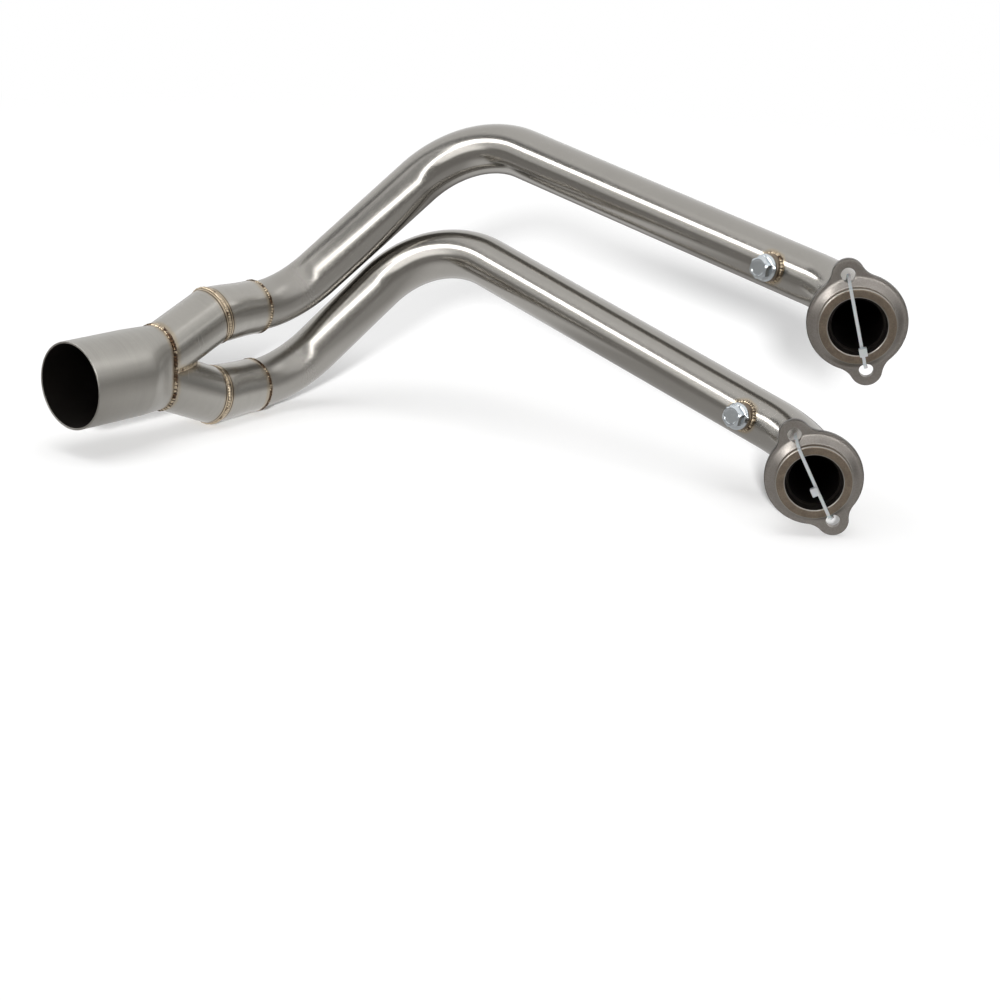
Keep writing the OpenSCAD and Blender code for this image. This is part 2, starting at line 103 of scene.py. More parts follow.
class HeaderSizes(bpy.types.PropertyGroup):
    """Sizes of the header, the same as those of its solids."""

    outlet_d: length("Outlet diameter", "Outside diameter of the outlet tube", 60)
    outlet_len: length("Outlet length", "Outlet tube from its mouth to the legs", 76)
    oval_len: length("Oval length", "Length over which the outlet is pressed oval", 26)
    leg_d: length("Leg diameter", "Outside diameter of the merge legs", 40)
    leg_offset: length("Leg offset", "Height of a leg's axis above or below the outlet axis", 8)
    leg_splay: angle("Leg splay", "Angle between a leg and the outlet axis", 22)
    leg_len: length("Leg length", "Length of each leg along its axis", 55)
    sleeve_len: length("Sleeve length", "Length of the tapered sleeves", 42)
    sleeve_grip: length("Sleeve grip", "Length of pipe pushed into a sleeve", 12)
    pipe_d: length("Pipe diameter", "Outside diameter of the primary pipes", 35)
    wall: length("Wall", "Wall of every tube", 1.5)
    bends: place("Bend radii", "Centreline radii of the merge, main and port bends", (60, 70, 70))
    merge_lead: length("Merge lead", "Distance from a sleeve to the first bend's corner", 34)
    port_lead: length("Port lead", "Distance from a port face to the last bend's corner", 57)
    main_a: place("Upper main corner", "Upper main bend corner from its sleeve end", (144, -75, 121))
    port_a: place("Upper port", "Upper port centre from its main bend corner", (-68, -376, -60))
    main_b: place("Lower main corner", "Lower main bend corner from its sleeve end", (120, -63, 106))
    port_b: place("Lower port", "Lower port centre from its main bend corner", (-55, -373, -89))
    port_heading: angle("Port heading", "Direction in plan in which the ports look", 215.5)
    port_dip: angle("Port dip", "Tilt of the port faces below level", 4)
    rim_d: length("Collar rim", "Outside diameter of a collar rim", 48.5)
    rim_t: length("Rim thickness", "Thickness of a collar rim", 4)
    port_bore_d: length("Port bore", "Mouth bore of a collar", 36.5)
    port_bore_depth: length("Bore depth", "Depth of the mouth bore", 6)
    hub_wall: length("Hub wall", "Wall of a collar hub", 2)
    hub_len: length("Hub length", "Length of a collar hub", 12)
    flange_d: length("Flange body", "Diameter of a flange's round body", 62.5)
    stud_spacing: length("Stud spacing", "Spacing of the two stud holes", 62.5)
    stud_hole_d: length("Stud hole", "Diameter of the stud holes", 9)
    ear_r: length("Ear radius", "Radius of the ears round the stud holes", 10)
    ear_blend_r: length("Ear blend", "Radius of the hollow between body and ear", 14)
    flange_t: length("Flange sheet", "Sheet thickness of a flange", 4)
    dish_h: length("Dish height", "Height by which a flange's middle is pressed forward", 4.5)
    dish_slope: length("Dish slope", "Width of the slope round the pressed middle", 3.5)
    ear_turns: FloatVectorProperty(
        name="Flange turns", description="Turn of the upper and lower flange", size=2, default=(math.radians(15), math.radians(27))
    )
    plug_back_a: length("Upper plug", "Distance of the upper plug from the last bend's corner", 56)
    plug_back_b: length("Lower plug", "Distance of the lower plug from the last bend's corner", 47)
    plug_clock: angle("Plug clock", "Clock position of the plugs round their pipes", -4)
    boss_d: length("Boss diameter", "Outside diameter of a boss", 18)
    boss_h: length("Boss height", "Height of a boss above the pipe", 3.5)
    washer_d: length("Washer diameter", "Outside diameter of a sealing washer", 16)
    washer_t: length("Washer thickness", "Thickness of a sealing washer", 1.5)
    plug_af: length("Plug hex", "Size of a plug's hex across flats", 13)
    plug_flange_d: length("Plug flange", "Diameter of the flange under the hex", 18)
    plug_head_h: length("Plug head", "Height of a plug's head with its flange", 8)
    bead_r: length("Outlet bead", "Radius of the bead round the outlet", 1.8)
    small_bead_r: length("Small bead", "Radius of the other weld beads", 1.4)
    bead_sink: length("Bead sink", "Depth of a bead's centre below the tube's surface", 0.6)
    ripple: length("Ripple pitch", "Distance between the ripples of a weld bead", 1.9)
    tie_w: length("Tie width", "Width of the ties that hold the flanges", 2.1)
    sides: IntProperty(name="Sides", description="Faces round a tube", default=96, min=24, max=256)


class HeaderFinish(bpy.types.PropertyGroup):
    """Colours of the header's finishes and the light on it."""

    steel: colour("Pipe steel", "Brushed tube", (0.36, 0.345, 0.32))
    formed: colour("Formed steel", "Outlet, legs and sleeves", (0.40, 0.385, 0.355))
    plate: colour("Flange plate", "Pressed flange plate", (0.33, 0.305, 0.28))
    collar: colour("Collar", "Turned collar", (0.27, 0.22, 0.17))
    straw: colour("Straw tint", "Outer heat tint beside a weld", (0.38, 0.29, 0.17))
    brown: colour("Brown tint", "Inner heat tint beside a weld", (0.10, 0.06, 0.035))
    gold: colour("Weld gold", "Bright weld metal", (0.54, 0.45, 0.33))
    # Painted shade: the near-black colour given to the insides of the tubes and bores.
    painted_bore_shade: colour("Painted_shade_in_bores", "Inside of the tubes", (0.024, 0.021, 0.019))
    zinc: colour("Zinc", "Plated plugs", (0.60, 0.64, 0.67))
    nylon: colour("Nylon", "Ties", (0.64, 0.67, 0.68))
    floor: colour("Floor", "Studio floor", (0.97, 0.97, 0.97))


# ---------------------------------------------------------------- layout


def across(v, axis):
    """The part of v that stands square to axis, one unit long."""
    return (v - v.dot(axis) * axis).normalized()


def frame_at(origin, z, x):
    """Matrix of a frame with its Z along z and its X as near as can be to x."""
    k = z.normalized()
    i = across(x, k)
    j = k.cross(i)
    m = Matrix.Identity(4)
    for row in range(3):
        m[row][0], m[row][1], m[row][2], m[row][3] = i[row], j[row], k[row], origin[row]
    return m


class Branch:
    """Places and directions of one branch of the header, side 1 above and -1 below."""

    def __init__(self, size, side):
        self.size = size
        self.side = side
        self.leg = Vector((math.cos(size.leg_splay), 0, side * math.sin(size.leg_splay)))
        self.root = Vector((size.outlet_len, 0, side * size.leg_offset))
        self.mitre = self.root + size.leg_len * self.leg
        self.mitre_dir = (self.leg + Vector((1, 0, 0))).normalized()
        self.sleeve_end = self.mitre + Vector((size.sleeve_len, 0, 0))
        dip, heading = size.port_dip, size.port_heading
        self.port_dir = Vector(
            (math.cos(heading) * math.cos(dip), math.sin(heading) * math.cos(dip), -math.sin(dip))
        )
        self.main = self.sleeve_end + Vector(size.main_a if side > 0 else size.main_b)
        self.port = self.main + Vector(size.port_a if side > 0 else size.port_b)
        self.last = self.port - size.port_lead * self.port_dir
        self.run = (self.last - self.main).normalized()
        self.front = size.dish_h + size.rim_t
        self.pipe_front = self.front - size.port_bore_depth
        back = size.plug_back_a if side > 0 else size.plug_back_b
        self.plug = self.last - back * self.run
        u = across(self.port_dir, self.run)
        w = self.run.cross(u)
        self.plug_dir = math.cos(size.plug_clock) * u + math.sin(size.plug_clock) * w

    def corners(self):
        """Corner points of the primary pipe, from its sleeve to its port."""
        grip = Vector((self.size.sleeve_grip, 0, 0))
        lead = Vector((self.size.merge_lead, 0, 0))
        return [
            self.sleeve_end - grip,
            self.sleeve_end + lead,
            self.main,
            self.last,
            self.port + self.pipe_front * self.port_dir,
        ]

    def leg_span(self, offset):
        """Start and end of one ruling of the leg, measured along it from the leg's root."""
        tube_end = -offset.x / self.leg.x
        seam = -(self.root.z + offset.z) / self.leg.z
        end = (self.mitre - self.root - offset).dot(self.mitre_dir) / self.leg.dot(self.mitre_dir)
        return max(tube_end, seam), end

    def port_frame(self, turn=0.0):
        return frame_at(self.port, self.port_dir, Vector((0, 0, 1))) @ Matrix.Rotation(turn, 4, "Z")

    def plug_frame(self):
        return frame_at(self.plug, self.plug_dir, self.run)


def ring(radius, count):
    """Points of a circle in the XY plane."""
    return [
        Vector((radius * math.cos(2 * math.pi * i / count), radius * math.sin(2 * math.pi * i / count), 0))
        for i in range(count)
    ]


def oval(radius, half, count):
    """Points of the pressed oval as (y, z), with its flat sides softly rounded."""
    points = []
    for i in range(count):
        a = 2 * math.pi * i / count
        lift = max(-1.0, min(1.0, math.sin(a) / 0.34))
        lift = lift * (1.5 - 0.5 * lift * lift)
        points.append((radius * math.cos(a), radius * math.sin(a) + half * lift))
    return points


def weld_paths(size):
    """Every weld as name: (points, closed), on the surface that it joins."""
    paths = {}
    leg_r = size.leg_d / 2
    half = size.leg_offset + leg_r * (1 / math.cos(size.leg_splay) - 1)
    sink = size.bead_sink
    x = size.outlet_len + 0.3 * MM
    paths["weld_outlet"] = ([Vector((x, y, z)) for y, z in oval(leg_r - sink, half, 160)], True)
    cx = size.outlet_len - size.leg_offset / math.tan(size.leg_splay)
    reach = leg_r / math.sin(size.leg_splay)
    steps = 120
    start = math.acos((size.outlet_len + 1.5 * MM - cx) / reach)
    seam = []
    for i in range(steps + 1):
        a = -start + 2 * start * i / steps
        seam.append(Vector((cx + reach * math.cos(a), leg_r * math.sin(a), 0)))
    seam = [p - sink * Vector((0, p.y / leg_r, 0)) for p in seam]
    paths["weld_crotch"] = (seam, False)
    for side, letter in ((1, "a"), (-1, "b")):
        b = Branch(size, side)
        turn = frame_at(Vector(), b.leg, Vector((0, 1, 0)))
        points = []
        for p in ring(leg_r - sink, 160):
            e = turn @ p
            points.append(b.root + e + b.leg_span(e)[1] * b.leg)
        paths["weld_leg_" + letter] = (points, True)
        at = frame_at(b.sleeve_end, Vector((1, 0, 0)), Vector((0, 1, 0)))
        paths["weld_sleeve_" + letter] = ([at @ p for p in ring(size.pipe_d / 2 + 0.5 * MM, 160)], True)
        at = b.plug_frame()
        points = []
        for p in ring(size.boss_d / 2, 120):
            p.z = math.sqrt((size.pipe_d / 2) ** 2 - p.y**2)
            points.append(at @ p)
        paths["weld_boss_" + letter] = (points, True)
        at = b.port_frame()
        back = size.dish_h - size.hub_len
        points = [at @ (p + Vector((0, 0, back))) for p in ring(size.pipe_d / 2 + 0.5 * MM, 120)]
        paths["weld_port_" + letter] = (points, True)
    return paths


def weld_tree(size, start="weld"):
    """Nearest-point tree over the welds whose names start so, for the heat tint."""
    points = [p for name, (path, _) in weld_paths(size).items() if name.startswith(start) for p in path]
    tree = KDTree(len(points))
    for i, p in enumerate(points):
        tree.insert(p, i)
    tree.balance()
    return tree


# ---------------------------------------------------------------- mesh helpers


def piece(name, mesh, slot, material, *nodes):
    """A finished piece that stands for CAD nodes and takes the material given; its slot is not used."""
    obj = bpy.data.objects.new(name, mesh)
    bpy.context.scene.collection.objects.link(obj)
    if material:
        mesh.materials.clear()
        mesh.materials.append(material)
    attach(obj, "root")
    if nodes:
        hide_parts(*nodes)
    return obj


def smooth(mesh, limit=32):
    """Shades smooth, with edges over the limit in degrees left sharp."""
    mesh.shade_smooth()
    mesh.set_sharp_from_angle(angle=math.radians(limit))


def outward(mesh):
    """Merges doubles and turns every face of a closed shell outwards."""
    bm = bmesh.new()
    bm.from_mesh(mesh)
    bmesh.ops.remove_doubles(bm, verts=bm.verts, dist=1e-7)
    bmesh.ops.recalc_face_normals(bm, faces=bm.faces)
    bm.to_mesh(mesh)
    bm.free()


def shell(name, rows, inner=None):
    """Mesh of rings of equal length, each joined to the next, and the last to the first."""
    count = len(rows[0])
    verts = [p for row in rows for p in row]
    faces = []
    for r in range(len(rows)):
        a, b = r * count, (r + 1) % len(rows) * count
        for i in range(count):
            j = (i + 1) % count
            faces.append((a + i, a + j, b + j, b + i))
    mesh = bpy.data.meshes.new(name)
    mesh.from_pydata(verts, [], faces)
    if inner:
        store(mesh, "bore", [float(mark) for mark in inner for _ in range(count)])
    outward(mesh)
    return mesh


def lathe(name, profile, at, count=128):
    """Closed solid of revolution from (radius, height) points, placed by a frame."""
    rows = [[at @ (p + Vector((0, 0, z))) for p in ring(r, count)] for r, z in profile]
    return shell(name, rows)


def round_profile(points, radius, steps=4):
    """The closed profile with each corner rounded to at most the radius."""
    out = []
    n = len(points)
    for i in range(n):
        p = Vector(points[i])
        a, b = Vector(points[i - 1]) - p, Vector(points[(i + 1) % n]) - p
        cut = min(radius, a.length * 0.45, b.length * 0.45)
        start, end = p + a.normalized() * cut, p + b.normalized() * cut
        for k in range(steps + 1):
            t = k / steps
            out.append(((1 - t) ** 2 * start + 2 * t * (1 - t) * p + t * t * end)[:])
    return out


def store(mesh, name, values):
    """Stores one number per vertex as an attribute."""
    mesh.attributes.new(name, "FLOAT", "POINT").data.foreach_set("value", values)


def heat(mesh, tree, name="heat_mm"):
    """Stores each vertex's distance from the nearest weld, in millimetres."""
    store(mesh, name, [tree.find(v.co)[2] / MM for v in mesh.vertices])


def bore(mesh, inside):
    """Marks with one every vertex for which the test holds, and with nought the others."""
    store(mesh, "bore", [1.0 if inside(v.co) else 0.0 for v in mesh.vertices])


def along(mesh, axis, origin):
    """Stores each vertex's distance along an axis, in metres."""
    store(mesh, "along", [(v.co - origin).dot(axis) for v in mesh.vertices])


# ---------------------------------------------------------------- geometry nodes


class Tree:
    """A Geometry Nodes tree built in the script, with named inputs."""

    def __init__(self, name, inputs):
        self.group = bpy.data.node_groups.new(name, "GeometryNodeTree")
        face = self.group.interface
        face.new_socket("Geometry", in_out="INPUT", socket_type="NodeSocketGeometry")
        for label, kind, default in inputs:
            socket = face.new_socket(label, in_out="INPUT", socket_type=kind)
            if default is not None:
                socket.default_value = default
        face.new_socket("Geometry", in_out="OUTPUT", socket_type="NodeSocketGeometry")
        self.inputs = self.group.nodes.new("NodeGroupInput").outputs
        self.end = self.group.nodes.new("NodeGroupOutput").inputs

    def node(self, kind, settings=None, **sockets):
        """A node of that type, with its settings and the values or links of its sockets."""
        node = self.group.nodes.new(kind)
        for key, value in (settings or {}).items():
            setattr(node, key, value)
        for key, value in sockets.items():
            label = key.replace("_", " ")
            socket = node.inputs[int(label[1:])] if label[0] == "i" and label[1:].isdigit() else node.inputs[label]
            if isinstance(value, bpy.types.NodeSocket):
                self.group.links.new(value, socket)
            else:
                socket.default_value = value
        return node.outputs

    def finish(self, geometry):
        """Ends the tree in Realize Instances and Set Material."""
        whole = self.node("GeometryNodeRealizeInstances", Geometry=geometry)
        done = self.node("GeometryNodeSetMaterial", Geometry=whole[0], Material=self.inputs["Material"])
        self.group.links.new(done[0], self.end[0])
        return self.group

    def maths(self, operation, a, b=0.0):
        return self.node("ShaderNodeMath", {"operation": operation}, i0=a, i1=b)[0]


def grow(name, points, closed, group, values, marks=None, wall=0.0):
    """Runs a tree over a line of points and returns the result as a plain mesh."""
    mesh = bpy.data.meshes.new(name + "_line")
    edges = [(i, i + 1) for i in range(len(points) - 1)]
    if closed:
        edges.append((len(points) - 1, 0))
    mesh.from_pydata(points, edges, [])
    for key, numbers in (marks or {}).items():
        store(mesh, key, numbers)
    obj = bpy.data.objects.new(name + "_line", mesh)
    bpy.context.scene.collection.objects.link(obj)
    nodes = obj.modifiers.new("Path", "NODES")
    nodes.node_group = group
    for item in group.interface.items_tree:
        if item.in_out == "INPUT" and item.name in values:
            nodes[item.identifier] = values[item.name]
    if wall:
        solid = obj.modifiers.new("Wall", "SOLIDIFY")
        solid.thickness = wall
        solid.offset = -1
        solid.use_even_offset = True
    bpy.context.view_layer.update()
    evaluated = obj.evaluated_get(bpy.context.evaluated_depsgraph_get())
    result = bpy.data.meshes.new_from_object(evaluated)
    obj.modifiers.clear()
    bpy.data.objects.remove(obj)
    result.name = name
    return result


def bent_tube_tree():
    """Corner points with a bend radius each become a bent tube."""
    t = Tree(
        "Bent Tube",
        [
            ("Radius", "NodeSocketFloat", 0.0175),
            ("Step", "NodeSocketFloat", 0.002),
            ("Sides", "NodeSocketInt", 96),
            ("Material", "NodeSocketMaterial", None),
        ],
    )
    line = t.node("GeometryNodeMeshToCurve", Mesh=t.inputs["Geometry"])
    bend = t.node("GeometryNodeInputNamedAttribute", {"data_type": "FLOAT"}, Name="bend_r")
    bent = t.node(
        "GeometryNodeFilletCurve", {"mode": "POLY"}, Curve=line[0], Count=40, Radius=bend[0]
    )
    fine = t.node(
        "GeometryNodeResampleCurve", {"mode": "LENGTH"}, Curve=bent[0], Length=t.inputs["Step"]
    )
    spline = t.node("GeometryNodeSplineParameter")
    marked = t.node(
        "GeometryNodeStoreNamedAttribute",
        {"data_type": "FLOAT", "domain": "POINT"},
        Geometry=fine[0],
        Name="along",
        Value=spline["Length"],
    )
    section = t.node(
        "GeometryNodeCurvePrimitiveCircle", Resolution=t.inputs["Sides"], Radius=t.inputs["Radius"]
    )
    tube = t.node(
        "GeometryNodeCurveToMesh", Curve=marked[0], Profile_Curve=section[0], Fill_Caps=False
    )
    return t.finish(t.node("GeometryNodeSetShadeSmooth", Geometry=tube[0])[0])


def weld_bead_tree():
    """A line on a seam becomes a bead whose ripples follow it like fish scales."""
    t = Tree(
        "Weld Bead",
        [
            ("Radius", "NodeSocketFloat", 0.0018),
            ("Pitch", "NodeSocketFloat", 0.0015),
            ("Depth", "NodeSocketFloat", 0.16),
            ("Seed", "NodeSocketFloat", 1.0),
            ("Material", "NodeSocketMaterial", None),
        ],
    )
    line = t.node("GeometryNodeMeshToCurve", Mesh=t.inputs["Geometry"])
    fine = t.node(
        "GeometryNodeResampleCurve", {"mode": "LENGTH"}, Curve=line[0], Length=0.00022
    )
    run = t.node("GeometryNodeSplineParameter")["Length"]
    wander = t.node(
        "ShaderNodeTexNoise", {"noise_dimensions": "1D"}, W=t.maths("ADD", run, t.inputs["Seed"]), Scale=330.0
    )[0]
    uneven = t.maths("MULTIPLY_ADD", wander, 0.9)
    t.group.nodes[-1].inputs[2].default_value = 0.0
    phase = t.maths("ADD", t.maths("DIVIDE", run, t.inputs["Pitch"]), uneven)
    saw = t.maths("FRACT", phase)
    arch = t.maths("SUBTRACT", 1.0, t.maths("POWER", saw, 1.8))
    swell = t.maths("MULTIPLY", t.maths("SUBTRACT", arch, 0.5), t.inputs["Depth"])
    drift = t.maths("MULTIPLY", t.maths("SUBTRACT", wander, 0.5), 0.5)
    scale = t.maths("ADD", 1.0, t.maths("ADD", swell, drift))
    marked = t.node(
        "GeometryNodeStoreNamedAttribute",
        {"data_type": "FLOAT", "domain": "POINT"},
        Geometry=fine[0],
        Name="ripple",
        Value=saw,
    )
    section = t.node("GeometryNodeCurvePrimitiveCircle", Resolution=16, Radius=t.inputs["Radius"])
    bead = t.node(
        "GeometryNodeCurveToMesh",
        Curve=marked[0],
        Profile_Curve=section[0],
        Scale=scale,
        Fill_Caps=True,
    )
    return t.finish(t.node("GeometryNodeSetShadeSmooth", Geometry=bead[0])[0])


# ---------------------------------------------------------------- materials


class Value:
    """A socket's number, on which arithmetic adds Math nodes."""

    def __init__(self, paint, socket):
        self.paint = paint
        self.socket = socket

    def apply(self, operation, a, b):
        return Value(self.paint, self.paint.node("ShaderNodeMath", {"operation": operation}, {0: a, 1: b})[0])

    def __add__(self, other):
        return self.apply("ADD", self, other)

    __radd__ = __add__

    def __sub__(self, other):
        return self.apply("SUBTRACT", self, other)

    def __rsub__(self, other):
        return self.apply("SUBTRACT", other, self)

    def __mul__(self, other):
        return self.apply("MULTIPLY", self, other)

    __rmul__ = __mul__

    def __truediv__(self, other):
        return self.apply("DIVIDE", self, other)

    def __pow__(self, other):
        return self.apply("POWER", self, other)

    def ramp(self, low, high, start=0.0, end=1.0):
        """Soft step of this number from low to high."""
        out = self.paint.node(
            "ShaderNodeMapRange", {"interpolation_type": "SMOOTHSTEP"}, {0: self, 1: low, 2: high, 3: start, 4: end}
        )
        return Value(self.paint, out[0])


class Paint:
    """One material, its Principled shader and the nodes that feed it."""

    def __init__(self, name, **constants):
        self.material = bpy.data.materials.new(name)
        self.material.use_nodes = True
        self.tree = self.material.node_tree
        self.shader = self.tree.nodes["Principled BSDF"]
        for key, value in constants.items():
            self.shader.inputs[key.replace("_", " ")].default_value = value
        self.coords = None

    def node(self, kind, settings=None, sockets=None):
        """A node of that type, with its settings and the values or links of its sockets."""
        node = self.tree.nodes.new(kind)
        for key, value in (settings or {}).items():
            setattr(node, key, value)
        for key, value in (sockets or {}).items():
            self.join(node.inputs[key], value)
        return node.outputs

    def join(self, socket, value):
        if isinstance(value, Value):
            value = value.socket
        if isinstance(value, bpy.types.NodeSocket):
            self.tree.links.new(value, socket)
        elif hasattr(value, "__len__") and len(value) == 3 and socket.type == "RGBA":
            socket.default_value = (*value, 1)
        else:
            socket.default_value = value

    def set(self, name, value):
        self.join(self.shader.inputs[name], value)

    def attribute(self, name):
        return Value(self, self.node("ShaderNodeAttribute", {"attribute_name": name})["Fac"])

    def noise(self, scale, detail=2.0, rough=0.5, stretch=None, vector=None):
        """Noise over the piece's own coordinates, in units per metre."""
        if vector is None:
            if self.coords is None:
                self.coords = self.node("ShaderNodeTexCoord")["Object"]
            vector = self.coords
        if stretch:
            vector = self.node("ShaderNodeMapping", {}, {"Vector": vector, "Scale": stretch})[0]
        out = self.node(
            "ShaderNodeTexNoise", {}, {"Vector": vector, "Scale": scale, "Detail": detail, "Roughness": rough}
        )
        return Value(self, out["Fac"])

    def mix(self, factor, a, b, blend="MIX"):
        """Colour mix of a and b."""
        out = self.node(
            "ShaderNodeMix",
            {"data_type": "RGBA", "blend_type": blend, "clamp_factor": True},
            {0: factor, 6: a, 7: b},
        )
        return out[2]

    def lines(self, name, pitch, wave=0.0):
        """Fine brushing lines that lie square to an attribute that runs along the piece."""
        run = self.attribute(name) / pitch
        if wave:
            run = run + self.noise(18.0) * wave
        vector = self.node("ShaderNodeCombineXYZ", {}, {0: run, 1: self.noise(7.0) * 3.0})[0]
        return self.noise(1.0, 3.0, 0.6, vector=vector)

    def axis(self, index):
        """One of the piece's own coordinates, in metres."""
        if self.coords is None:
            self.coords = self.node("ShaderNodeTexCoord")["Object"]
        return Value(self, self.node("ShaderNodeSeparateXYZ", {}, {0: self.coords})[index])

    def rays(self, name):
        """One for rays of that kind, else nought."""
        return Value(self, self.node("ShaderNodeLightPath")[name])

    def bump(self, height, strength, distance):
        out = self.node("ShaderNodeBump", {}, {"Strength": strength, "Distance": distance, "Height": height})
        self.set("Normal", out[0])

    def tint(self, colour, finish, reach=1.0):
        """Heat tint beside the welds: straw, then brown, with a ragged edge."""
        ragged = self.attribute("heat_mm") + (self.noise(160.0, 3.0) - 0.5) * 3.0 * reach
        straw = ragged.ramp(9.0 * reach, 2.5 * reach)
        brown = ragged.ramp(3.8 * reach, 1.6 * reach)
        out = self.mix(straw * 0.55, colour, finish.straw)
        return self.mix(brown * 0.8, out, finish.brown)

    def bands(self, colour, finish):
        """Pale and dark lines that run beside the seam between a leg and its sleeve."""
        seam = self.attribute("seam_mm") + (self.noise(90.0, 2.0) - 0.5) * 0.5
        pale = seam.ramp(1.9, 2.2) * seam.ramp(3.1, 2.8)
        dark = seam.ramp(2.8, 3.1) * seam.ramp(3.9, 3.5) + seam.ramp(2.1, 1.8)
        out = self.mix(pale * 0.85, colour, finish.gold)
        return self.mix(dark * 0.95, out, [c * 0.7 for c in finish.brown])

    def shaded_in_bores(self, colour, finish):
        """The colour outside, painted shade inside the bores."""
        return self.mix(self.attribute("bore"), colour, finish.painted_bore_shade)

    def dull_bore(self, roughness):
        """The roughness, raised inside the bores."""
        return roughness + self.attribute("bore") * 0.45


def pipe_steel(finish):
    """Brushed tube: fine rings of brushing, faint smears and heat tint by the welds."""
    p = Paint("brushed pipe", Metallic=1.0)
    rings = p.lines("along", 0.0005)
    smear = p.noise(22.0, 3.0, 0.6)
    grain = p.noise(1600.0, 2.0, 0.6)
    base = p.mix(smear.ramp(0.35, 0.7) * 0.35, finish.steel, [c * 0.88 for c in finish.steel])
    base = p.mix(grain.ramp(0.35, 0.7) * 0.3, base, [c * 0.8 for c in finish.steel])
    # Painted shade inside the bores, over the tinted steel.
    p.set("Base Color", p.shaded_in_bores(p.tint(base, finish, 0.5), finish))
    by_the_sleeve = p.attribute("along").ramp(0.12, -0.04)
    satin = by_the_sleeve * (grain * 0.3 + 0.12)
    p.set("Roughness", p.dull_bore(0.12 + rings * 0.05 + smear * 0.05 + satin))
    p.bump(grain, 0.06, 0.00004)
    return p.material


def formed_steel(finish, name, gloss):
    """Rolled and pressed tube; gloss 0 is as dull as the outlet tube, 1 as bright as the legs."""
    p = Paint(name, Metallic=1.0)
    rings = p.lines("along", 0.0006)
    smear = p.noise(30.0, 4.0, 0.62)
    blotch = p.noise(9.0, 2.0)
    grain = p.noise(1300.0, 2.0, 0.6)
    base = p.mix(smear.ramp(0.3, 0.75) * 0.5, finish.formed, [c * 0.80 for c in finish.formed])
    base = p.mix(rings.ramp(0.35, 0.65) * (0.3 - 0.1 * gloss), base, [c * 0.75 for c in finish.formed])
    base = p.mix(grain.ramp(0.35, 0.7) * 0.3, base, [c * 0.8 for c in finish.formed])
    base = p.mix(blotch.ramp(0.45, 0.7) * 0.35, base, [c * 1.15 for c in finish.formed])
    base = p.tint(base, finish, 0.7)
    if gloss:
        base = p.bands(base, finish)
    # Painted shade inside the bores.
    p.set("Base Color", p.shaded_in_bores(base, finish))
    p.set("Roughness", p.dull_bore(0.26 - 0.09 * gloss + rings * 0.08 + smear * 0.08))
    p.bump(rings + smear * 0.8, 0.2 - 0.14 * gloss, 0.00006)
    return p.material


def flange_plate(finish):
    """Pressed plate with a dull, slightly mottled skin and a painted dark reflection along its rim."""
    p = Paint("pressed plate", Metallic=1.0)
    grain = p.noise(1000.0, 3.0, 0.7)
    mottle = p.noise(60.0, 4.0, 0.6)
    base = p.mix(mottle.ramp(0.35, 0.7) * 0.5, finish.plate, [c * 0.78 for c in finish.plate])
    base = p.mix(grain.ramp(0.40, 0.62) * 0.45, base, [c * 0.70 for c in finish.plate])
    # Painted dark reflection: the rounded rim is darkened to a quarter of the plate colour.
    base = p.mix(p.attribute("edge") * 0.8, base, [c * 0.25 for c in finish.plate])
    p.set("Base Color", base)
    p.set("Roughness", 0.27 + mottle * 0.12 + grain * 0.08)
    p.bump(grain + mottle, 0.25, 0.0001)
    return p.material


def collar_steel(finish):
    """Turned ring with tool marks, browned by heat, with painted highlights on its bore lip and rim edge."""
    p = Paint("turned collar", Metallic=1.0)
    marks = p.lines("radius", 0.0004)
    mottle = p.noise(130.0, 4.0, 0.7)
    grain = p.noise(1000.0, 3.0, 0.7)
    base = p.mix(mottle.ramp(0.3, 0.7) * 0.7, finish.collar, [c * 0.6 for c in finish.collar])
    base = p.mix(grain.ramp(0.40, 0.62) * 0.45, base, [c * 0.62 for c in finish.collar])
    # Painted highlight: pale steel colour on the bore lip and the rim's front edge.
    base = p.mix(p.attribute("painted_lip_highlight") * 0.8, base, finish.formed)
    # Painted shade inside the bores.
    p.set("Base Color", p.shaded_in_bores(base, finish))
    p.set("Roughness", p.dull_bore(0.28 + marks * 0.14 + mottle * 0.1))
    p.bump(marks + grain * 0.6, 0.35, 0.00008)
    return p.material


def zinc_plate(finish):
    """Bright zinc with a faint cloudiness."""
    p = Paint("zinc plating", Metallic=1.0)
    cloud = p.noise(160.0, 3.0, 0.55)
    base = p.mix(cloud.ramp(0.35, 0.7) * 0.5, finish.zinc, [c * 0.8 for c in finish.zinc])
    p.set("Base Color", base)
    p.set("Roughness", 0.12 + cloud * 0.14)
    p.bump(cloud, 0.12, 0.00005)
    return p.material


def weld_metal(finish, name, burn, hollow):
    """Weld bead with gold crests and dark hollows; burn is the share of it that is burnt brown."""
    p = Paint(name, Metallic=1.0)
    patch = p.noise(150.0, 3.0, 0.6)
    fleck = p.noise(900.0, 2.0, 0.6)
    base = p.mix(patch.ramp(0.62 - 0.4 * burn, 0.72 - 0.4 * burn), finish.gold, finish.brown)
    base = p.mix(fleck.ramp(0.5, 0.75) * 0.5 * burn, base, [c * 0.4 for c in finish.brown])
    base = p.mix(p.attribute("ripple").ramp(0.45, 0.85) * hollow, base, [c * 0.4 for c in finish.brown])
    p.set("Base Color", base)
    p.set("Roughness", 0.16 + patch * 0.18)
    p.bump(fleck, 0.2, 0.0001)
    return p.material


def nylon(finish):
    """Milky plastic."""
    p = Paint("nylon", Metallic=0.0, Subsurface_Weight=0.15, Subsurface_Scale=0.002)
    cloud = p.noise(120.0, 2.0)
    p.set("Base Color", p.mix(cloud * 0.4, finish.nylon, [c * 0.93 for c in finish.nylon]))
    p.set("Roughness", 0.34 + cloud * 0.12)
    return p.material


# ---------------------------------------------------------------- operators


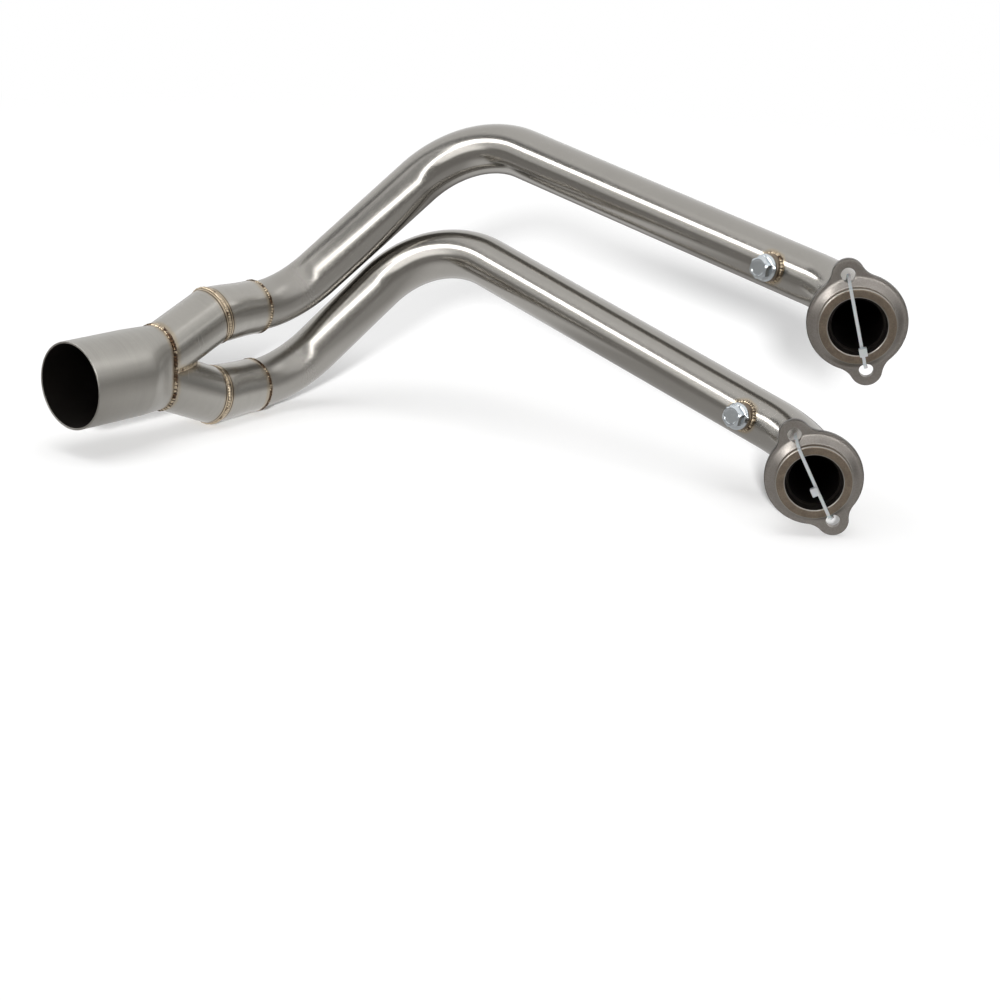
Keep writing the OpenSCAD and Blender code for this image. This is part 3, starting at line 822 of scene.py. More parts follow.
class MakePipes(bpy.types.Operator):
    """Bend the two primary pipes"""

    bl_idname = "header.make_pipes"
    bl_label = "Primary pipes"

    def execute(self, context):
        size, finish = context.scene.header_sizes, context.scene.header_finish
        material = pipe_steel(finish)
        tree = weld_tree(size)
        group = bent_tube_tree()
        for side, letter in ((1, "a"), (-1, "b")):
            b = Branch(size, side)
            values = {"Radius": size.pipe_d / 2, "Step": 0.002, "Sides": size.sides, "Material": material}
            marks = {"bend_r": [0.0, *size.bends, 0.0]}
            mesh = grow("pipe_" + letter, b.corners(), False, group, values, marks, size.wall)
            outer = len(mesh.vertices) // 2
            ends = [(v.co - b.port).dot(b.port_dir) > b.pipe_front - 4 * MM for v in mesh.vertices]
            near = [(v.co - b.port).length < 60 * MM for v in mesh.vertices]
            store(mesh, "bore", [float(i >= outer or (e and n)) for i, (e, n) in enumerate(zip(ends, near))])
            heat(mesh, tree)
            smooth(mesh, 50)
            piece("primary_pipe_skin_" + letter, mesh, "pipe_steel", material, "primary_pipe_" + letter)
        return {"FINISHED"}


class MakeMerge(bpy.types.Operator):
    """Form the outlet tube, the mitred legs and the tapered sleeves"""

    bl_idname = "header.make_merge"
    bl_label = "Merge"

    def outlet(self, size, count):
        leg_r, outlet_r = size.leg_d / 2, size.outlet_d / 2
        half = size.leg_offset + leg_r * (1 / math.cos(size.leg_splay) - 1)
        rows = []
        for inset, forward in ((0.0, True), (size.wall, False)):
            part = []
            steps = 60
            for k in range(steps + 1):
                x = size.outlet_len * k / steps
                t = max(0.0, (x - size.outlet_len + size.oval_len) / size.oval_len)
                t = 0.35 * t + 0.65 * t * t * (3 - 2 * t)
                lip = 0.35 * MM if k == 0 else 0.0
                r = outlet_r - inset + (lip if inset else -lip)
                ovals = oval(leg_r - inset, half, count)
                row = []
                for i, (y, z) in enumerate(ovals):
                    a = 2 * math.pi * i / count
                    row.append(
                        Vector((x, (1 - t) * r * math.cos(a) + t * y, (1 - t) * r * math.sin(a) + t * z))
                    )
                part.append(row)
                if k == 0:
                    part.append(
                        [
                            Vector((0.35 * MM, (outlet_r - inset) * math.cos(a), (outlet_r - inset) * math.sin(a)))
                            for a in (2 * math.pi * i / count for i in range(count))
                        ]
                    )
            rows += part if forward else part[::-1]
        outer = len(rows) // 2
        return shell("outlet", rows, [outer <= i < len(rows) - 1 for i in range(len(rows))])

    def leg(self, size, b, count):
        rows = []
        steps = 16
        turn = frame_at(Vector(), b.leg, Vector((0, 1, 0)))
        for radius, forward in ((size.leg_d / 2, True), (size.leg_d / 2 - size.wall, False)):
            offsets = [turn @ p for p in ring(radius, count)]
            spans = [b.leg_span(e) for e in offsets]
            part = []
            for k in range(steps + 1):
                t = k / steps
                part.append(
                    [b.root + e + ((1 - t) * lo + t * hi) * b.leg for e, (lo, hi) in zip(offsets, spans)]
                )
            rows += part if forward else part[::-1]
        return shell("leg", rows, [i > steps for i in range(len(rows))])

    def sleeve(self, size, b, count):
        leg_r, end_r = size.leg_d / 2, size.pipe_d / 2 + size.wall
        land, grip = 6 * MM, size.sleeve_len - size.sleeve_grip + 2 * MM
        rows = []
        steps = 28
        for inset, forward in ((0.0, True), (size.wall, False)):
            part = []
            for k in range(steps + 1):
                row = []
                for p in ring(1.0, count):
                    first = -(p.y * (leg_r - inset)) * b.mitre_dir.z / b.mitre_dir.x
                    x = first + (size.sleeve_len - first) * k / steps
                    t = max(0.0, min(1.0, (x - land) / (grip - land)))
                    t = t * t * (3 - 2 * t)
                    r = leg_r + (end_r - leg_r) * t - inset
                    if k == steps and not inset:
                        r -= 0.5 * MM
                    row.append(b.mitre + Vector((x, p.x * r, p.y * r)))
                part.append(row)
            rows += part if forward else part[::-1]
        return shell("sleeve", rows, [i > steps for i in range(len(rows))])

    def execute(self, context):
        size, finish = context.scene.header_sizes, context.scene.header_finish
        dull, bright = formed_steel(finish, "outlet tube", 0.0), formed_steel(finish, "merge tube", 1.0)
        tree = weld_tree(size)
        seams = weld_tree(size, "weld_leg")
        count = size.sides * 3 // 2
        x = Vector((1, 0, 0))
        made = [("outlet_skin", self.outlet(size, count), x, ["outlet_tube"])]
        for side, letter in ((1, "a"), (-1, "b")):
            b = Branch(size, side)
            made.append(("leg_skin_" + letter, self.leg(size, b, count), b.leg, ["merge_leg_" + letter]))
            made.append(("sleeve_skin_" + letter, self.sleeve(size, b, count), x, ["taper_sleeve_" + letter]))
        for name, mesh, axis, nodes in made:
            heat(mesh, tree)
            heat(mesh, seams, "seam_mm")
            along(mesh, axis, Vector())
            smooth(mesh, 40)
            piece(name, mesh, "outlet_steel", dull if name == "outlet_skin" else bright, *nodes)
        return {"FINISHED"}


class MakePorts(bpy.types.Operator):
    """Turn the collars and press the two-ear flanges"""

    bl_idname = "header.make_ports"
    bl_label = "Port flanges and collars"

    def collar(self, size, b):
        bore_r, rim, front = size.port_bore_d / 2, size.rim_d / 2, b.front
        hub, pipe = size.pipe_d / 2 + size.hub_wall, size.pipe_d / 2
        lip = 1 * MM
        profile = [
            (bore_r, b.pipe_front),
            (bore_r, front - lip / 2),
            (bore_r + lip / 2, front),
            (rim - lip * 0.7, front),
            (rim, front - lip * 0.7),
            (rim, size.dish_h),
            (hub, size.dish_h),
            (hub, size.dish_h - size.hub_len),
            (pipe, size.dish_h - size.hub_len),
            (pipe, b.pipe_front),
        ]
        mesh = lathe("collar", round_profile(profile, 0.35 * MM, 3), b.port_frame(), 160)
        centre = b.port
        store(mesh, "radius", [across_distance(v.co, centre, b.port_dir) for v in mesh.vertices])
        bore(mesh, lambda co: across_distance(co, centre, b.port_dir) < bore_r + 0.05 * MM)
        # Thin rings on the bore lip and the rim's front edge, painted pale as highlights.
        painted_lip_highlight = []
        for v in mesh.vertices:
            r = across_distance(v.co, centre, b.port_dir)
            ahead = (v.co - centre).dot(b.port_dir) > front - 0.9 * MM
            painted_lip_highlight.append(float(ahead and (bore_r + 0.1 * MM < r < bore_r + 0.7 * MM or r > rim - 0.5 * MM)))
        store(mesh, "painted_lip_highlight", painted_lip_highlight)
        return mesh

    def outline(self, size, a):
        """Distance of the flange's edge from its centre, at an angle from the line of the ears."""
        body, ear, blend, spacing = size.flange_d / 2, size.ear_r, size.ear_blend_r, size.stud_spacing / 2
        u, v = abs(math.cos(a)), abs(math.sin(a))
        far_a, far_b = body + blend, ear + blend
        bx = (far_a**2 - far_b**2 + spacing**2) / (2 * spacing)
        by = math.sqrt(far_a**2 - bx**2)
        to_ear = math.atan2(by * ear / far_b, spacing + (bx - spacing) * ear / far_b)
        to_body = math.atan2(by, bx)
        turn = math.atan2(v, u)
        if turn <= to_ear:
            return spacing * u + math.sqrt(max(0.0, ear**2 - (spacing * v) ** 2))
        if turn < to_body:
            mid = bx * u + by * v
            return mid - math.sqrt(max(0.0, mid * mid - (bx * bx + by * by - blend**2)))
        return body

    def section(self, size):
        """Front of the pressed middle as (radius, height), from the pipe hole to the slope's foot."""
        hole = size.pipe_d / 2 + size.hub_wall + 0.5 * MM
        top, high, wide = size.rim_d / 2 + 0.5 * MM, size.dish_h, 1.5 * size.dish_slope

        def rise(t):
            return high * (1 - math.cos(math.pi / 2 * t))

        points = [(hole, high - 0.4 * MM), (hole + 0.4 * MM, high), ((hole + top) / 2, high)]
        start, ridge = Vector((top - 0.4 * MM, high)), Vector((top, high))
        end = Vector((top + 0.08 * wide, rise(0.92)))
        for k in range(6):
            t = k / 5
            points.append(tuple((1 - t) ** 2 * start + 2 * t * (1 - t) * ridge + t * t * end))
        for k in range(1, 16):
            t = 0.92 * (1 - k / 15)
            points.append((top + (1 - t) * wide, rise(t)))
        return points

    def flange(self, size, b, turn):
        front = self.section(size)
        foot = front[-1][0]
        edge = 0.6 * MM
        count = 288
        at = b.port_frame(turn)
        edges = [self.outline(size, 2 * math.pi * i / count) for i in range(count)]
        rows = []

        def row(radii, height):
            points = []
            for i, r in enumerate(radii):
                a = 2 * math.pi * i / count
                points.append(at @ Vector((r * math.cos(a), r * math.sin(a), height)))
            rows.append(points)

        def flat(share):
            return [foot + (e - edge - foot) * share for e in edges]

        def rim(a):
            return [e - edge + edge * math.sin(a) for e in edges]

        turns = [math.pi / 2 * k / 3 for k in range(4)]
        for r, z in front:
            row([r] * count, z)
        for k in range(1, 6):
            row(flat(k / 5), 0.0)
        for a in turns[1:]:
            row(rim(a), -edge * (1 - math.cos(a)))
        back = -size.flange_t
        for a in reversed(turns):
            row(rim(a), back + edge * (1 - math.cos(a)))
        for k in range(4, 0, -1):
            row(flat(k / 5), back)
        for r, z in reversed(front[1:]):
            row([r] * count, back + z)
        row([front[0][0]] * count, back + size.dish_h + 0.4 * MM)
        mesh = shell("flange", rows)
        first = len(front) + 5
        # Marks the rounded rim, which the plate paint darkens as a painted dark reflection.
        store(mesh, "edge", [float(first <= i // count < first + 7) for i in range(len(mesh.vertices))])
        return self.drill(mesh, size, at)

    def drill(self, mesh, size, at):
        """Cuts the two stud holes straight through."""
        body = bpy.data.objects.new("flange_blank", mesh)
        bpy.context.scene.collection.objects.link(body)
        r, low, high = size.stud_hole_d / 2, -size.flange_t - MM, size.dish_h + MM
        tools = []
        for end in (-1, 1):
            centre = at @ Matrix.Translation((end * size.stud_spacing / 2, 0, 0))
            profile = [(0.0, high), (r, high), (r, low), (0.0, low)]
            tool = bpy.data.objects.new("drill", lathe("drill", profile, centre, 64))
            bpy.context.scene.collection.objects.link(tool)
            cut = body.modifiers.new("Hole", "BOOLEAN")
            cut.operation = "DIFFERENCE"
            cut.solver = "EXACT"
            cut.object = tool
            tools.append(tool)
        bpy.context.view_layer.update()
        evaluated = body.evaluated_get(bpy.context.evaluated_depsgraph_get())
        result = bpy.data.meshes.new_from_object(evaluated)
        body.modifiers.clear()
        for obj in [body, *tools]:
            bpy.data.objects.remove(obj)
        return result

    def execute(self, context):
        size, finish = context.scene.header_sizes, context.scene.header_finish
        plate, ring_metal = flange_plate(finish), collar_steel(finish)
        for i, (side, letter) in enumerate(((1, "a"), (-1, "b"))):
            b = Branch(size, side)
            mesh = self.collar(size, b)
            smooth(mesh, 40)
            piece("collar_skin_" + letter, mesh, "collar_steel", ring_metal, "port_collar_" + letter)
            mesh = self.flange(size, b, size.ear_turns[i])
            smooth(mesh, 30)
            piece("flange_skin_" + letter, mesh, "flange_steel", plate, "port_flange_" + letter)
        return {"FINISHED"}


def across_distance(point, centre, axis):
    """Distance of a point from an axis."""
    d = point - centre
    return (d - d.dot(axis) * axis).length


class MakePlugs(bpy.types.Operator):
    """Make the bosses, sealing washers and hex flange plugs"""

    bl_idname = "header.make_plugs"
    bl_label = "Sensor plugs"

    def boss(self, size, b, count=96):
        r, pipe = size.boss_d / 2, size.pipe_d / 2
        top, inner = pipe + size.boss_h, 4.2 * MM
        at = b.plug_frame()

        def foot(p):
            return math.sqrt(pipe**2 - p.y**2) - 0.3 * MM

        rows = [
            [at @ Vector((p.x, p.y, foot(p))) for p in ring(r, count)],
            [at @ (p + Vector((0, 0, top - 0.6 * MM))) for p in ring(r, count)],
            [at @ (p + Vector((0, 0, top))) for p in ring(r - 0.6 * MM, count)],
            [at @ (p + Vector((0, 0, top))) for p in ring(inner, count)],
            [at @ Vector((p.x, p.y, foot(p))) for p in ring(inner, count)],
        ]
        return shell("boss", rows)

    def head(self, size, b, count=144):
        """Hex head with its chamfer, on a thin cone-topped flange."""
        hex_r, corner = size.plug_af / 2, size.plug_af / 2 / math.cos(math.radians(30))
        chamfer = corner - hex_r
        base = size.pipe_d / 2 + size.boss_h + size.washer_t
        top = base + size.plug_head_h
        skirt, cone = base + 1.2 * MM, base + 2.1 * MM
        at = b.plug_frame()
        hexed = []
        for i in range(count):
            a = 2 * math.pi * i / count
            inside = (a + math.pi / 6) % (math.pi / 3) - math.pi / 6
            hexed.append((a, hex_r / math.cos(inside)))
        rows = []

        def row(radius, height):
            points = []
            for a, h in hexed:
                r = radius(h)
                points.append(at @ Vector((r * math.cos(a), r * math.sin(a), height(h))))
            rows.append(points)

        rim = size.plug_flange_d / 2
        crown = hex_r - chamfer * 0.6
        row(lambda h: 0.5 * MM, lambda h: base)
        row(lambda h: rim - 0.3 * MM, lambda h: base)
        row(lambda h: rim, lambda h: base + 0.3 * MM)
        row(lambda h: rim, lambda h: skirt - 0.3 * MM)
        row(lambda h: rim - 0.3 * MM, lambda h: skirt)
        row(lambda h: corner + 0.3 * MM, lambda h: cone)
        row(lambda h: h, lambda h: cone + 0.25 * MM)
        row(lambda h: h, lambda h: top - (h - crown) * 0.75)
        row(lambda h: crown, lambda h: top)
        row(lambda h: crown - 0.8 * MM, lambda h: top)
        row(lambda h: crown - 1.4 * MM, lambda h: top - 0.35 * MM)
        row(lambda h: 0.5 * MM, lambda h: top - 0.35 * MM)
        mesh = shell("head", rows)
        cap_ends(mesh)
        return mesh

    def execute(self, context):
        size, finish = context.scene.header_sizes, context.scene.header_finish
        zinc, turned = zinc_plate(finish), collar_steel(finish)
        for side, letter in ((1, "a"), (-1, "b")):
            b = Branch(size, side)
            boss = self.boss(size, b)
            store(boss, "radius", [(v.co - b.plug).dot(b.plug_dir) for v in boss.vertices])
            smooth(boss, 30)
            piece("boss_skin_" + letter, boss, "collar_steel", turned, "sensor_boss_" + letter)
            low = size.pipe_d / 2 + size.boss_h
            high, r, inner = low + size.washer_t, size.washer_d / 2, 4.3 * MM
            profile = round_profile([(inner, low), (r, low), (r, high), (inner, high)], 0.3 * MM, 3)
            washer = lathe("washer", profile, b.plug_frame(), 96)
            smooth(washer, 40)
            piece("washer_skin_" + letter, washer, "zinc_plate", zinc, "plug_washer_" + letter)
            head = self.head(size, b)
            smooth(head, 26)
            piece("plug_skin_" + letter, head, "zinc_plate", zinc, "plug_bolt_" + letter)
        return {"FINISHED"}


def cap_ends(mesh):
    """Drops the small tube that joins the first ring to the last and closes both with fans."""
    bm = bmesh.new()
    bm.from_mesh(mesh)
    bmesh.ops.remove_doubles(bm, verts=bm.verts, dist=1e-7)
    inner = [f for f in bm.faces if max(e.calc_length() for e in f.edges) > 5 * MM and f.calc_area() < 0.5e-6 and is_core(f)]
    bmesh.ops.delete(bm, geom=inner, context="FACES")
    bmesh.ops.holes_fill(bm, edges=[e for e in bm.edges if e.is_boundary], sides=0)
    bmesh.ops.recalc_face_normals(bm, faces=bm.faces)
    bm.to_mesh(mesh)
    bm.free()


def is_core(face):
    """True for a face of the thin core tube: its two long edges are nearly parallel."""
    long = sorted(face.edges, key=lambda e: -e.calc_length())[:2]
    a, b = [(e.verts[1].co - e.verts[0].co).normalized() for e in long]
    return abs(a.dot(b)) > 0.99999


class MakeWelds(bpy.types.Operator):
    """Lay the rippled weld beads"""

    bl_idname = "header.make_welds"
    bl_label = "Weld beads"

    def execute(self, context):
        size, finish = context.scene.header_sizes, context.scene.header_finish
        rope = weld_metal(finish, "burnt bead", 0.48, 0.95)
        flat = weld_metal(finish, "straw bead", 0.2, 0.35)
        fresh = weld_metal(finish, "bright bead", 0.25, 0.9)
        group = weld_bead_tree()
        kinds = {"outlet": (rope, 0.24), "crotch": (flat, 0.12), "leg": (flat, 0.1), "sleeve": (rope, 0.2)}
        for i, (name, (points, closed)) in enumerate(weld_paths(size).items()):
            material, depth = kinds.get(name.split("_")[1], (fresh, 0.3))
            values = {
                "Radius": size.bead_r if name in ("weld_outlet", "weld_crotch") else size.small_bead_r,
                "Pitch": size.ripple * (1.4 if name == "weld_outlet" else 1.0),
                "Depth": depth,
                "Seed": 3.7 * i,
                "Material": material,
            }
            mesh = grow(name, points, closed, group, values)
            piece(name.replace("weld", "bead"), mesh, "weld_metal", material, name)
        return {"FINISHED"}


class MakeTies(bpy.types.Operator):
    """Thread a nylon tie through the stud holes of each flange"""

    bl_idname = "header.make_ties"
    bl_label = "Ties"

    def path(self, size, b, turn):
        """Loop of (point, width direction) in the flange's own frame."""
        x = size.stud_spacing / 2
        front = b.front + 0.7 * MM
        hub = size.pipe_d / 2 + size.hub_wall + 0.9 * MM
        rim = size.rim_d / 2
        back = size.dish_h - size.hub_len + 1.5 * MM
        wide, deep = Vector((0, 1, 0)), Vector((0, 0, 1))
        stops = [
            (Vector((-x + 2 * MM, 0, 0.5 * MM)), wide),
            (Vector((-rim - 0.6 * MM, 0, front - 1 * MM)), wide),
            (Vector((-rim + 1.5 * MM, 0, front)), wide),
            (Vector((0, 0, front + 0.3 * MM)), wide),
            (Vector((rim - 1.5 * MM, 0, front)), wide),
            (Vector((rim + 0.6 * MM, 0, front - 1 * MM)), wide),
            (Vector((x - 2 * MM, 0, 0.5 * MM)), wide),
            (Vector((x - 1.5 * MM, 0, -5 * MM)), wide),
        ]
        for k in range(9):
            a = math.radians(8 - (196 * k / 8))
            stops.append((Vector((hub * math.cos(a), hub * math.sin(a), back)), deep))
        stops.append((Vector((-x + 1.5 * MM, 0, -5 * MM)), wide))
        at = b.port_frame(turn)
        return at, stops

    def strap(self, size, at, stops):
        """Flat strap swept along the closed loop."""
        n, fine = len(stops), 8
        points, widths = [], []
        for i in range(n):
            p0, p1, p2, p3 = (stops[(i + k) % n][0] for k in (-1, 0, 1, 2))
            w1, w2 = stops[i][1], stops[(i + 1) % n][1]
            for k in range(fine):
                t = k / fine
                points.append(
                    0.5
                    * (
                        2 * p1
                        + (p2 - p0) * t
                        + (2 * p0 - 5 * p1 + 4 * p2 - p3) * t * t
                        + (3 * p1 - p0 - 3 * p2 + p3) * t**3
                    )
                )
                widths.append(w1.lerp(w2, t))
        half_w, half_t = size.tie_w / 2, 0.55 * MM
        bevel = 0.3 * MM
        rows = []
        for i, p in enumerate(points):
            d = (points[(i + 1) % len(points)] - points[i - 1]).normalized()
            w = across(widths[i], d)
            t = d.cross(w)
            rows.append(
                [
                    at @ (p + w * a + t * c)
                    for a, c in (
                        (half_w, half_t - bevel),
                        (half_w - bevel, half_t),
                        (bevel - half_w, half_t),
                        (-half_w, half_t - bevel),
                        (-half_w, bevel - half_t),
                        (bevel - half_w, -half_t),
                        (half_w - bevel, -half_t),
                        (half_w, bevel - half_t),
                    )
                ]
            )
        return shell("tie", rows)

    def head(self, at, centre, span):
        """Rounded block that locks the strap."""
        bm = bmesh.new()
        bmesh.ops.create_cube(bm, size=1.0)
        bmesh.ops.scale(bm, vec=span, verts=bm.verts)
        bmesh.ops.bevel(bm, geom=bm.edges[:], offset=0.7 * MM, segments=3, profile=0.6, affect="EDGES")
        bmesh.ops.transform(bm, matrix=at @ Matrix.Translation(centre), verts=bm.verts)
        mesh = bpy.data.meshes.new("tie_head")
        bm.to_mesh(mesh)
        bm.free()
        return mesh

    def execute(self, context):
        size, finish = context.scene.header_sizes, context.scene.header_finish
        material = nylon(finish)
        for i, (side, letter) in enumerate(((1, "a"), (-1, "b"))):
            b = Branch(size, side)
            at, stops = self.path(size, b, size.ear_turns[i])
            mesh = self.strap(size, at, stops)
            smooth(mesh, 30)
            piece("tie_" + letter, mesh, "zinc_plate", material)
            along_x, along_y = ((-16 * MM, -0.4 * MM), (-5 * MM, 1.6 * MM))[i]
            lock = self.head(at, (along_x, along_y, b.front + 1.6 * MM), (5.4 * MM, 5.0 * MM, 4.2 * MM))
            smooth(lock, 40)
            piece("tie_head_" + letter, lock, "zinc_plate", material)
        return {"FINISHED"}


class MakeStage(bpy.types.Operator):
    """Set the floor, the lights, the cards that the metal reflects, and the camera"""

    bl_idname = "header.make_stage"
    bl_label = "Studio"

    def strip(self, name, location, facing, run, wide, high, glow):
        """Long lamp that only glossy surfaces show, laid out along run and turned to face that way."""
        data = bpy.data.lights.new(name, "AREA")
        data.shape = "RECTANGLE"
        data.size, data.size_y = wide, high
        data.energy = glow * math.pi * wide * high
        obj = bpy.data.objects.new(name, data)
        run = Vector(run).normalized()
        obj.matrix_world = frame_at(Vector(location), -across(Vector(facing), run), run)
        obj.visible_camera = False
        obj.visible_diffuse = False
        bpy.context.scene.collection.objects.link(obj)

    def sun(self, name, heading, dip, spread, energy):
        """Distant lamp that lights the floor and dull surfaces, and that metal doesn't show."""
        data = bpy.data.lights.new(name, "SUN")
        data.energy = energy
        data.angle = math.radians(spread)
        obj = bpy.data.objects.new(name, data)
        head, dip = math.radians(heading), math.radians(dip)
        away = -Vector((math.cos(dip) * math.cos(head), math.cos(dip) * math.sin(head), -math.sin(dip)))
        obj.matrix_world = frame_at(Vector((0, 0, 3)), away, Vector((0, 1, 0)))
        obj.visible_glossy = False
        bpy.context.scene.collection.objects.link(obj)
        return obj

    def sheet(self, name, corners, paint):
        """Flat sheet of the stage."""
        mesh = bpy.data.meshes.new(name)
        mesh.from_pydata(corners, [], [tuple(range(len(corners)))])
        mesh.materials.append(paint.material)
        obj = bpy.data.objects.new(name, mesh)
        bpy.context.scene.collection.objects.link(obj)
        return obj

    def card(self, name, corners, paint):
        """Sheet that only glossy surfaces show."""
        obj = self.sheet(name, corners, paint)
        obj.visible_camera = False
        obj.visible_diffuse = False
        obj.visible_transmission = False
        obj.visible_volume_scatter = False
        obj.visible_shadow = False
        return obj

    def glow(self, name):
        """Black sheet to which a glow is given."""
        p = Paint(name, Base_Color=(0, 0, 0, 1), Roughness=1.0, Specular_IOR_Level=0.0, Emission_Strength=2.0)
        p.material.cycles.emission_sampling = "NONE"
        return p

    def floor(self, finish):
        z = CAD_BOX[0][2] - 0.0002
        reach = 14.0
        p = Paint("floor", Roughness=1.0, Specular_IOR_Level=0.0, Emission_Strength=1.0)
        p.material.cycles.emission_sampling = "NONE"
        x, y = p.axis(0) - 0.3, p.axis(1) + 0.1
        away = (x * x + y * y) ** 0.5
        plain = p.rays("Is Camera Ray") * away.ramp(0.9, 1.5)
        shiny = p.rays("Is Glossy Ray")

        def spot(at, inner, outer):
            dx, dy = p.axis(0) - at[0], p.axis(1) - at[1]
            return ((dx * dx + dy * dy) ** 0.5).ramp(outer, inner)

        # Only in these spots does the floor take the lamps in full; elsewhere it takes 0.45 of them and glows instead,
        # painted fill light that pales the shadows there.
        unfaded_shadow_spots = spot((0.15, 0.0), 0.12, 0.26) + spot((0.75, -0.06), 0.06, 0.34) + spot((0.31, -0.42), 0.05, 0.14)
        lit = p.mix(unfaded_shadow_spots, [c * 0.45 for c in finish.floor], tuple(finish.floor))
        lit = p.mix(plain, lit, (0, 0, 0))
        # To glossy rays the floor is black and shows only the painted tones below.
        p.set("Base Color", p.mix(shiny, lit, (0, 0, 0)))
        # Painted reflection of the floor: darker for x under -0.05, beyond x 0.5 and toward -y, painted shade where
        # the metal would see the header's shadow and dark underside.
        side = p.axis(0)
        tone = p.mix(side.ramp(-0.05, 0.18), (0.37, 0.36, 0.35), (0.92, 0.92, 0.92))
        tone = p.mix(side.ramp(0.34, 0.50), tone, (0.26, 0.25, 0.24))
        tone = p.mix(p.axis(1).ramp(-0.06, -0.15) * 0.65, tone, (0.34, 0.33, 0.32))
        # Painted fill light: the floor glows at 0.58 outside the spots and at 0.02 in them; far off, for the camera,
        # it glows as the plain white backdrop.
        backdrop_and_painted_fill = p.mix(unfaded_shadow_spots, (0.58, 0.58, 0.58), (0.02, 0.02, 0.02))
        backdrop_and_painted_fill = p.mix(plain, backdrop_and_painted_fill, (1, 1, 1))
        p.set("Emission Color", p.mix(shiny, backdrop_and_painted_fill, tone))
        return self.sheet("floor", [(-reach, -reach, z), (reach, -reach, z), (reach, reach, z), (-reach, reach, z)], p)

    def cards(self):
        """Wall card on the left, a card on the right, and a dark card over the strip lamp."""
        wall = self.glow("wall card")
        high, run = wall.axis(2), wall.axis(1)
        tone = wall.mix(high.ramp(0.22, 0.6) * run.ramp(-1.0, 0.6), (0.16, 0.157, 0.15), (0.46, 0.46, 0.46))
        over = high - run * 0.3
        near = run.ramp(0.85, 0.4) * run.ramp(-1.0, -0.5) * high.ramp(0.05, 0.35) * over.ramp(1.2, 1.05)
        tone = wall.mix(over.ramp(1.3, 1.36), tone, (0.28, 0.28, 0.28))
        wall.set("Emission Color", wall.mix(near, tone, (1.1, 1.1, 1.1)))
        x = -1.6
        self.card("wall card", [(x, -4, -0.04), (x, 7, -0.04), (x, 7, 3.78), (x, -2.6, 0.8), (x, -4, 0.5)], wall)
        key = self.glow("key strip")
        key.set("Emission Color", (4.6, 4.6, 4.6, 1))
        low, bend, high = (-4.0, 0.28, 0.55), (0.3, 1.12, 1.28), (4.4, 2.4, 2.95)
        x = -1.59
        edge = [(x, y, under) for y, under, above in (low, bend, high)]
        edge += [(x, y, above) for y, under, above in (high, (1.1, 0, 2.02), bend, low)]
        self.card("key strip", edge, key)
        over = self.glow("over card")
        side, back = over.axis(0), over.axis(1).ramp(0.9, 1.3)
        nearer = over.mix(side.ramp(-1.35, -0.8), (0.24, 0.24, 0.24), (0.55, 0.55, 0.55))
        farther = over.mix(side.ramp(-0.95, -0.1), (0.12, 0.12, 0.12), (0.5, 0.5, 0.5))
        over.set("Emission Color", over.mix(back, nearer, farther))
        beside = self.glow("side card")
        up = beside.axis(2)
        near = beside.axis(0).ramp(1.75, 1.45)
        tone = beside.mix(up.ramp(0.1, 0.8), (0.17, 0.17, 0.17), (0.3, 0.3, 0.3))
        tone = beside.mix(near * up.ramp(0.9, 1.0) * up.ramp(1.25, 1.15), tone, (0.75, 0.75, 0.75))
        beside.set("Emission Color", beside.mix(up.ramp(1.15, 1.5), tone, (0.42, 0.42, 0.42)))
        near, far = (0.55, -2.85), (2.45, -0.9)
        self.card("side card", [(*near, -0.04), (*far, -0.04), (*far, 2.2), (*near, 2.2)], beside)
        self.card("over card", [(-1.62, -2.6, 0.8), (-1.62, 7, 3.78), (-0.1, 7, 4.03), (-0.1, -2.6, 1.05)], over)

    def execute(self, context):
        scene, finish = context.scene, context.scene.header_finish
        floor = self.floor(finish)
        self.cards()
        self.strip("side strip", (1.45, -1.17, 1.5), (-1.45, 1.17, -1.5), (1.7, -0.94, -0.4), 2.0, 0.3, 1.5)

        self.sun("top light", 33, 85, 50, 1.0)
        low = self.sun("low light on the floor", 36, 15, 3.5, 5.6)
        lit = bpy.data.collections.new("lit by the low light")
        lit.objects.link(floor)
        low.light_linking.receiver_collection = lit

        world = bpy.data.worlds.new("studio")
        scene.world = world
        world.use_nodes = True
        tree = world.node_tree
        sky = tree.nodes["Background"]
        rays = tree.nodes.new("ShaderNodeLightPath")
        pick = tree.nodes.new("ShaderNodeMix")
        pick.data_type = "RGBA"
        pick.inputs[6].default_value = (0.3, 0.3, 0.3, 1)
        pick.inputs[7].default_value = (1, 1, 1, 1)
        seen = rays.outputs["Is Camera Ray"]
        for kind in ("Is Glossy Ray", "Is Transmission Ray"):
            both = tree.nodes.new("ShaderNodeMath")
            tree.links.new(seen, both.inputs[0])
            tree.links.new(rays.outputs[kind], both.inputs[1])
            seen = both.outputs[0]
        tree.links.new(seen, pick.inputs[0])
        tree.links.new(pick.outputs[2], sky.inputs["Color"])
        sky.inputs["Strength"].default_value = 1.0

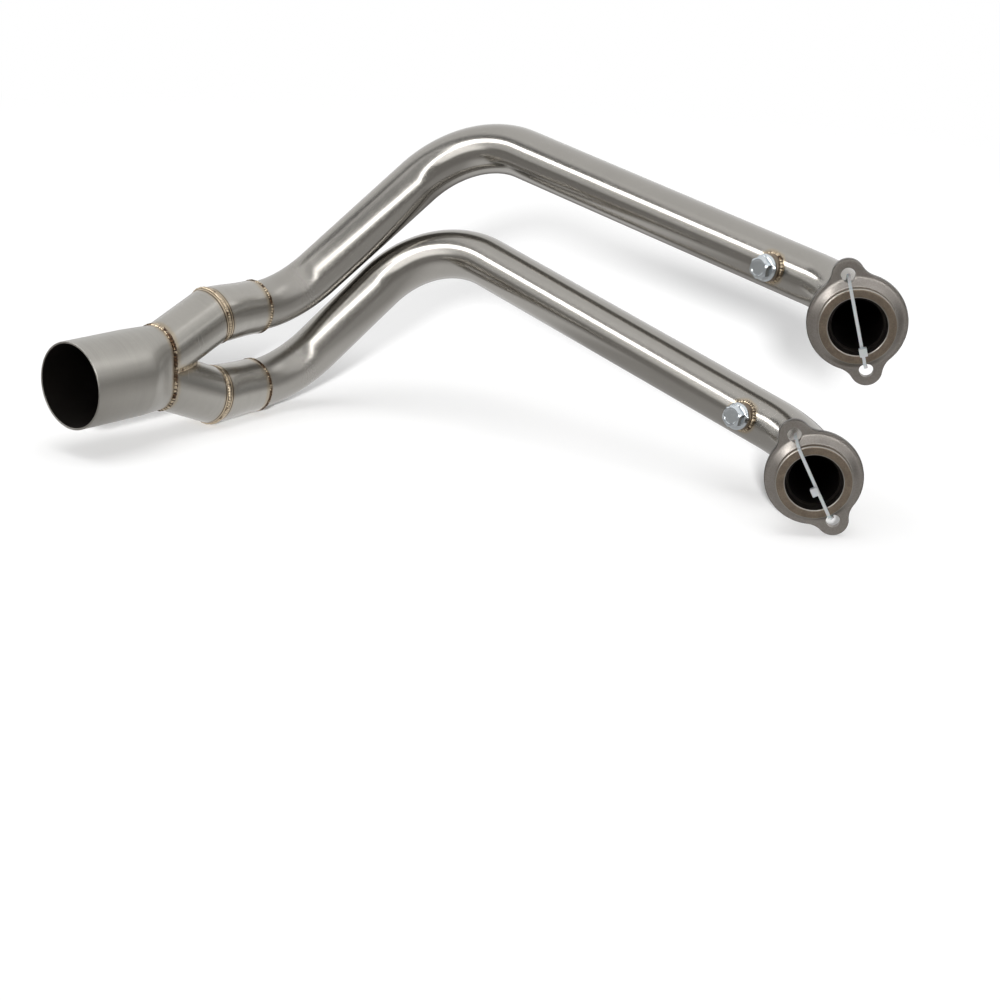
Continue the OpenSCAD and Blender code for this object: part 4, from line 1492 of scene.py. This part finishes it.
        eye = Vector((-1.04782, -1.24545, 0.44078))
        head, dip, roll = math.radians(39.711), math.radians(17.562), math.radians(-2.504)
        forward = Vector((math.cos(dip) * math.cos(head), math.cos(dip) * math.sin(head), -math.sin(dip)))
        right = Vector((math.sin(head), -math.cos(head), 0))
        down = forward.cross(right)
        right, down = (
            math.cos(roll) * right + math.sin(roll) * down,
            math.cos(roll) * down - math.sin(roll) * right,
        )
        data = bpy.data.cameras.new("camera")
        data.lens = 90
        data.sensor_width = 36
        data.clip_end = 100
        camera = bpy.data.objects.new("camera", data)
        m = Matrix.Identity(4)
        for row in range(3):
            m[row][0], m[row][1], m[row][2], m[row][3] = right[row], -down[row], -forward[row], eye[row]
        camera.matrix_world = m
        scene.collection.objects.link(camera)
        scene.camera = camera
        scene.view_settings.view_transform = "Standard"
        return {"FINISHED"}


class HeaderPanel(bpy.types.Panel):
    """Sidebar panel with the header's sizes, finishes and pieces"""

    bl_idname = "VIEW3D_PT_exhaust_header"
    bl_label = "Exhaust Header"
    bl_space_type = "VIEW_3D"
    bl_region_type = "UI"
    bl_category = "Header"

    def draw(self, context):
        layout = self.layout
        for group in (context.scene.header_sizes, context.scene.header_finish):
            column = layout.column()
            for name in group.__annotations__:
                column.prop(group, name)
        for step in STEPS:
            layout.operator(step.bl_idname)


STEPS = (MakePipes, MakeMerge, MakePorts, MakePlugs, MakeWelds, MakeTies, MakeStage)
CLASSES = (HeaderSizes, HeaderFinish, *STEPS, HeaderPanel)


def register():
    for cls in CLASSES:
        bpy.utils.register_class(cls)
    bpy.types.Scene.header_sizes = PointerProperty(type=HeaderSizes)
    bpy.types.Scene.header_finish = PointerProperty(type=HeaderFinish)


def unregister():
    del bpy.types.Scene.header_finish
    del bpy.types.Scene.header_sizes
    for cls in reversed(CLASSES):
        bpy.utils.unregister_class(cls)


def main():
    register()
    for step in STEPS:
        group, name = step.bl_idname.split(".")
        getattr(getattr(bpy.ops, group), name)()


if __name__ == "__main__":
    main()
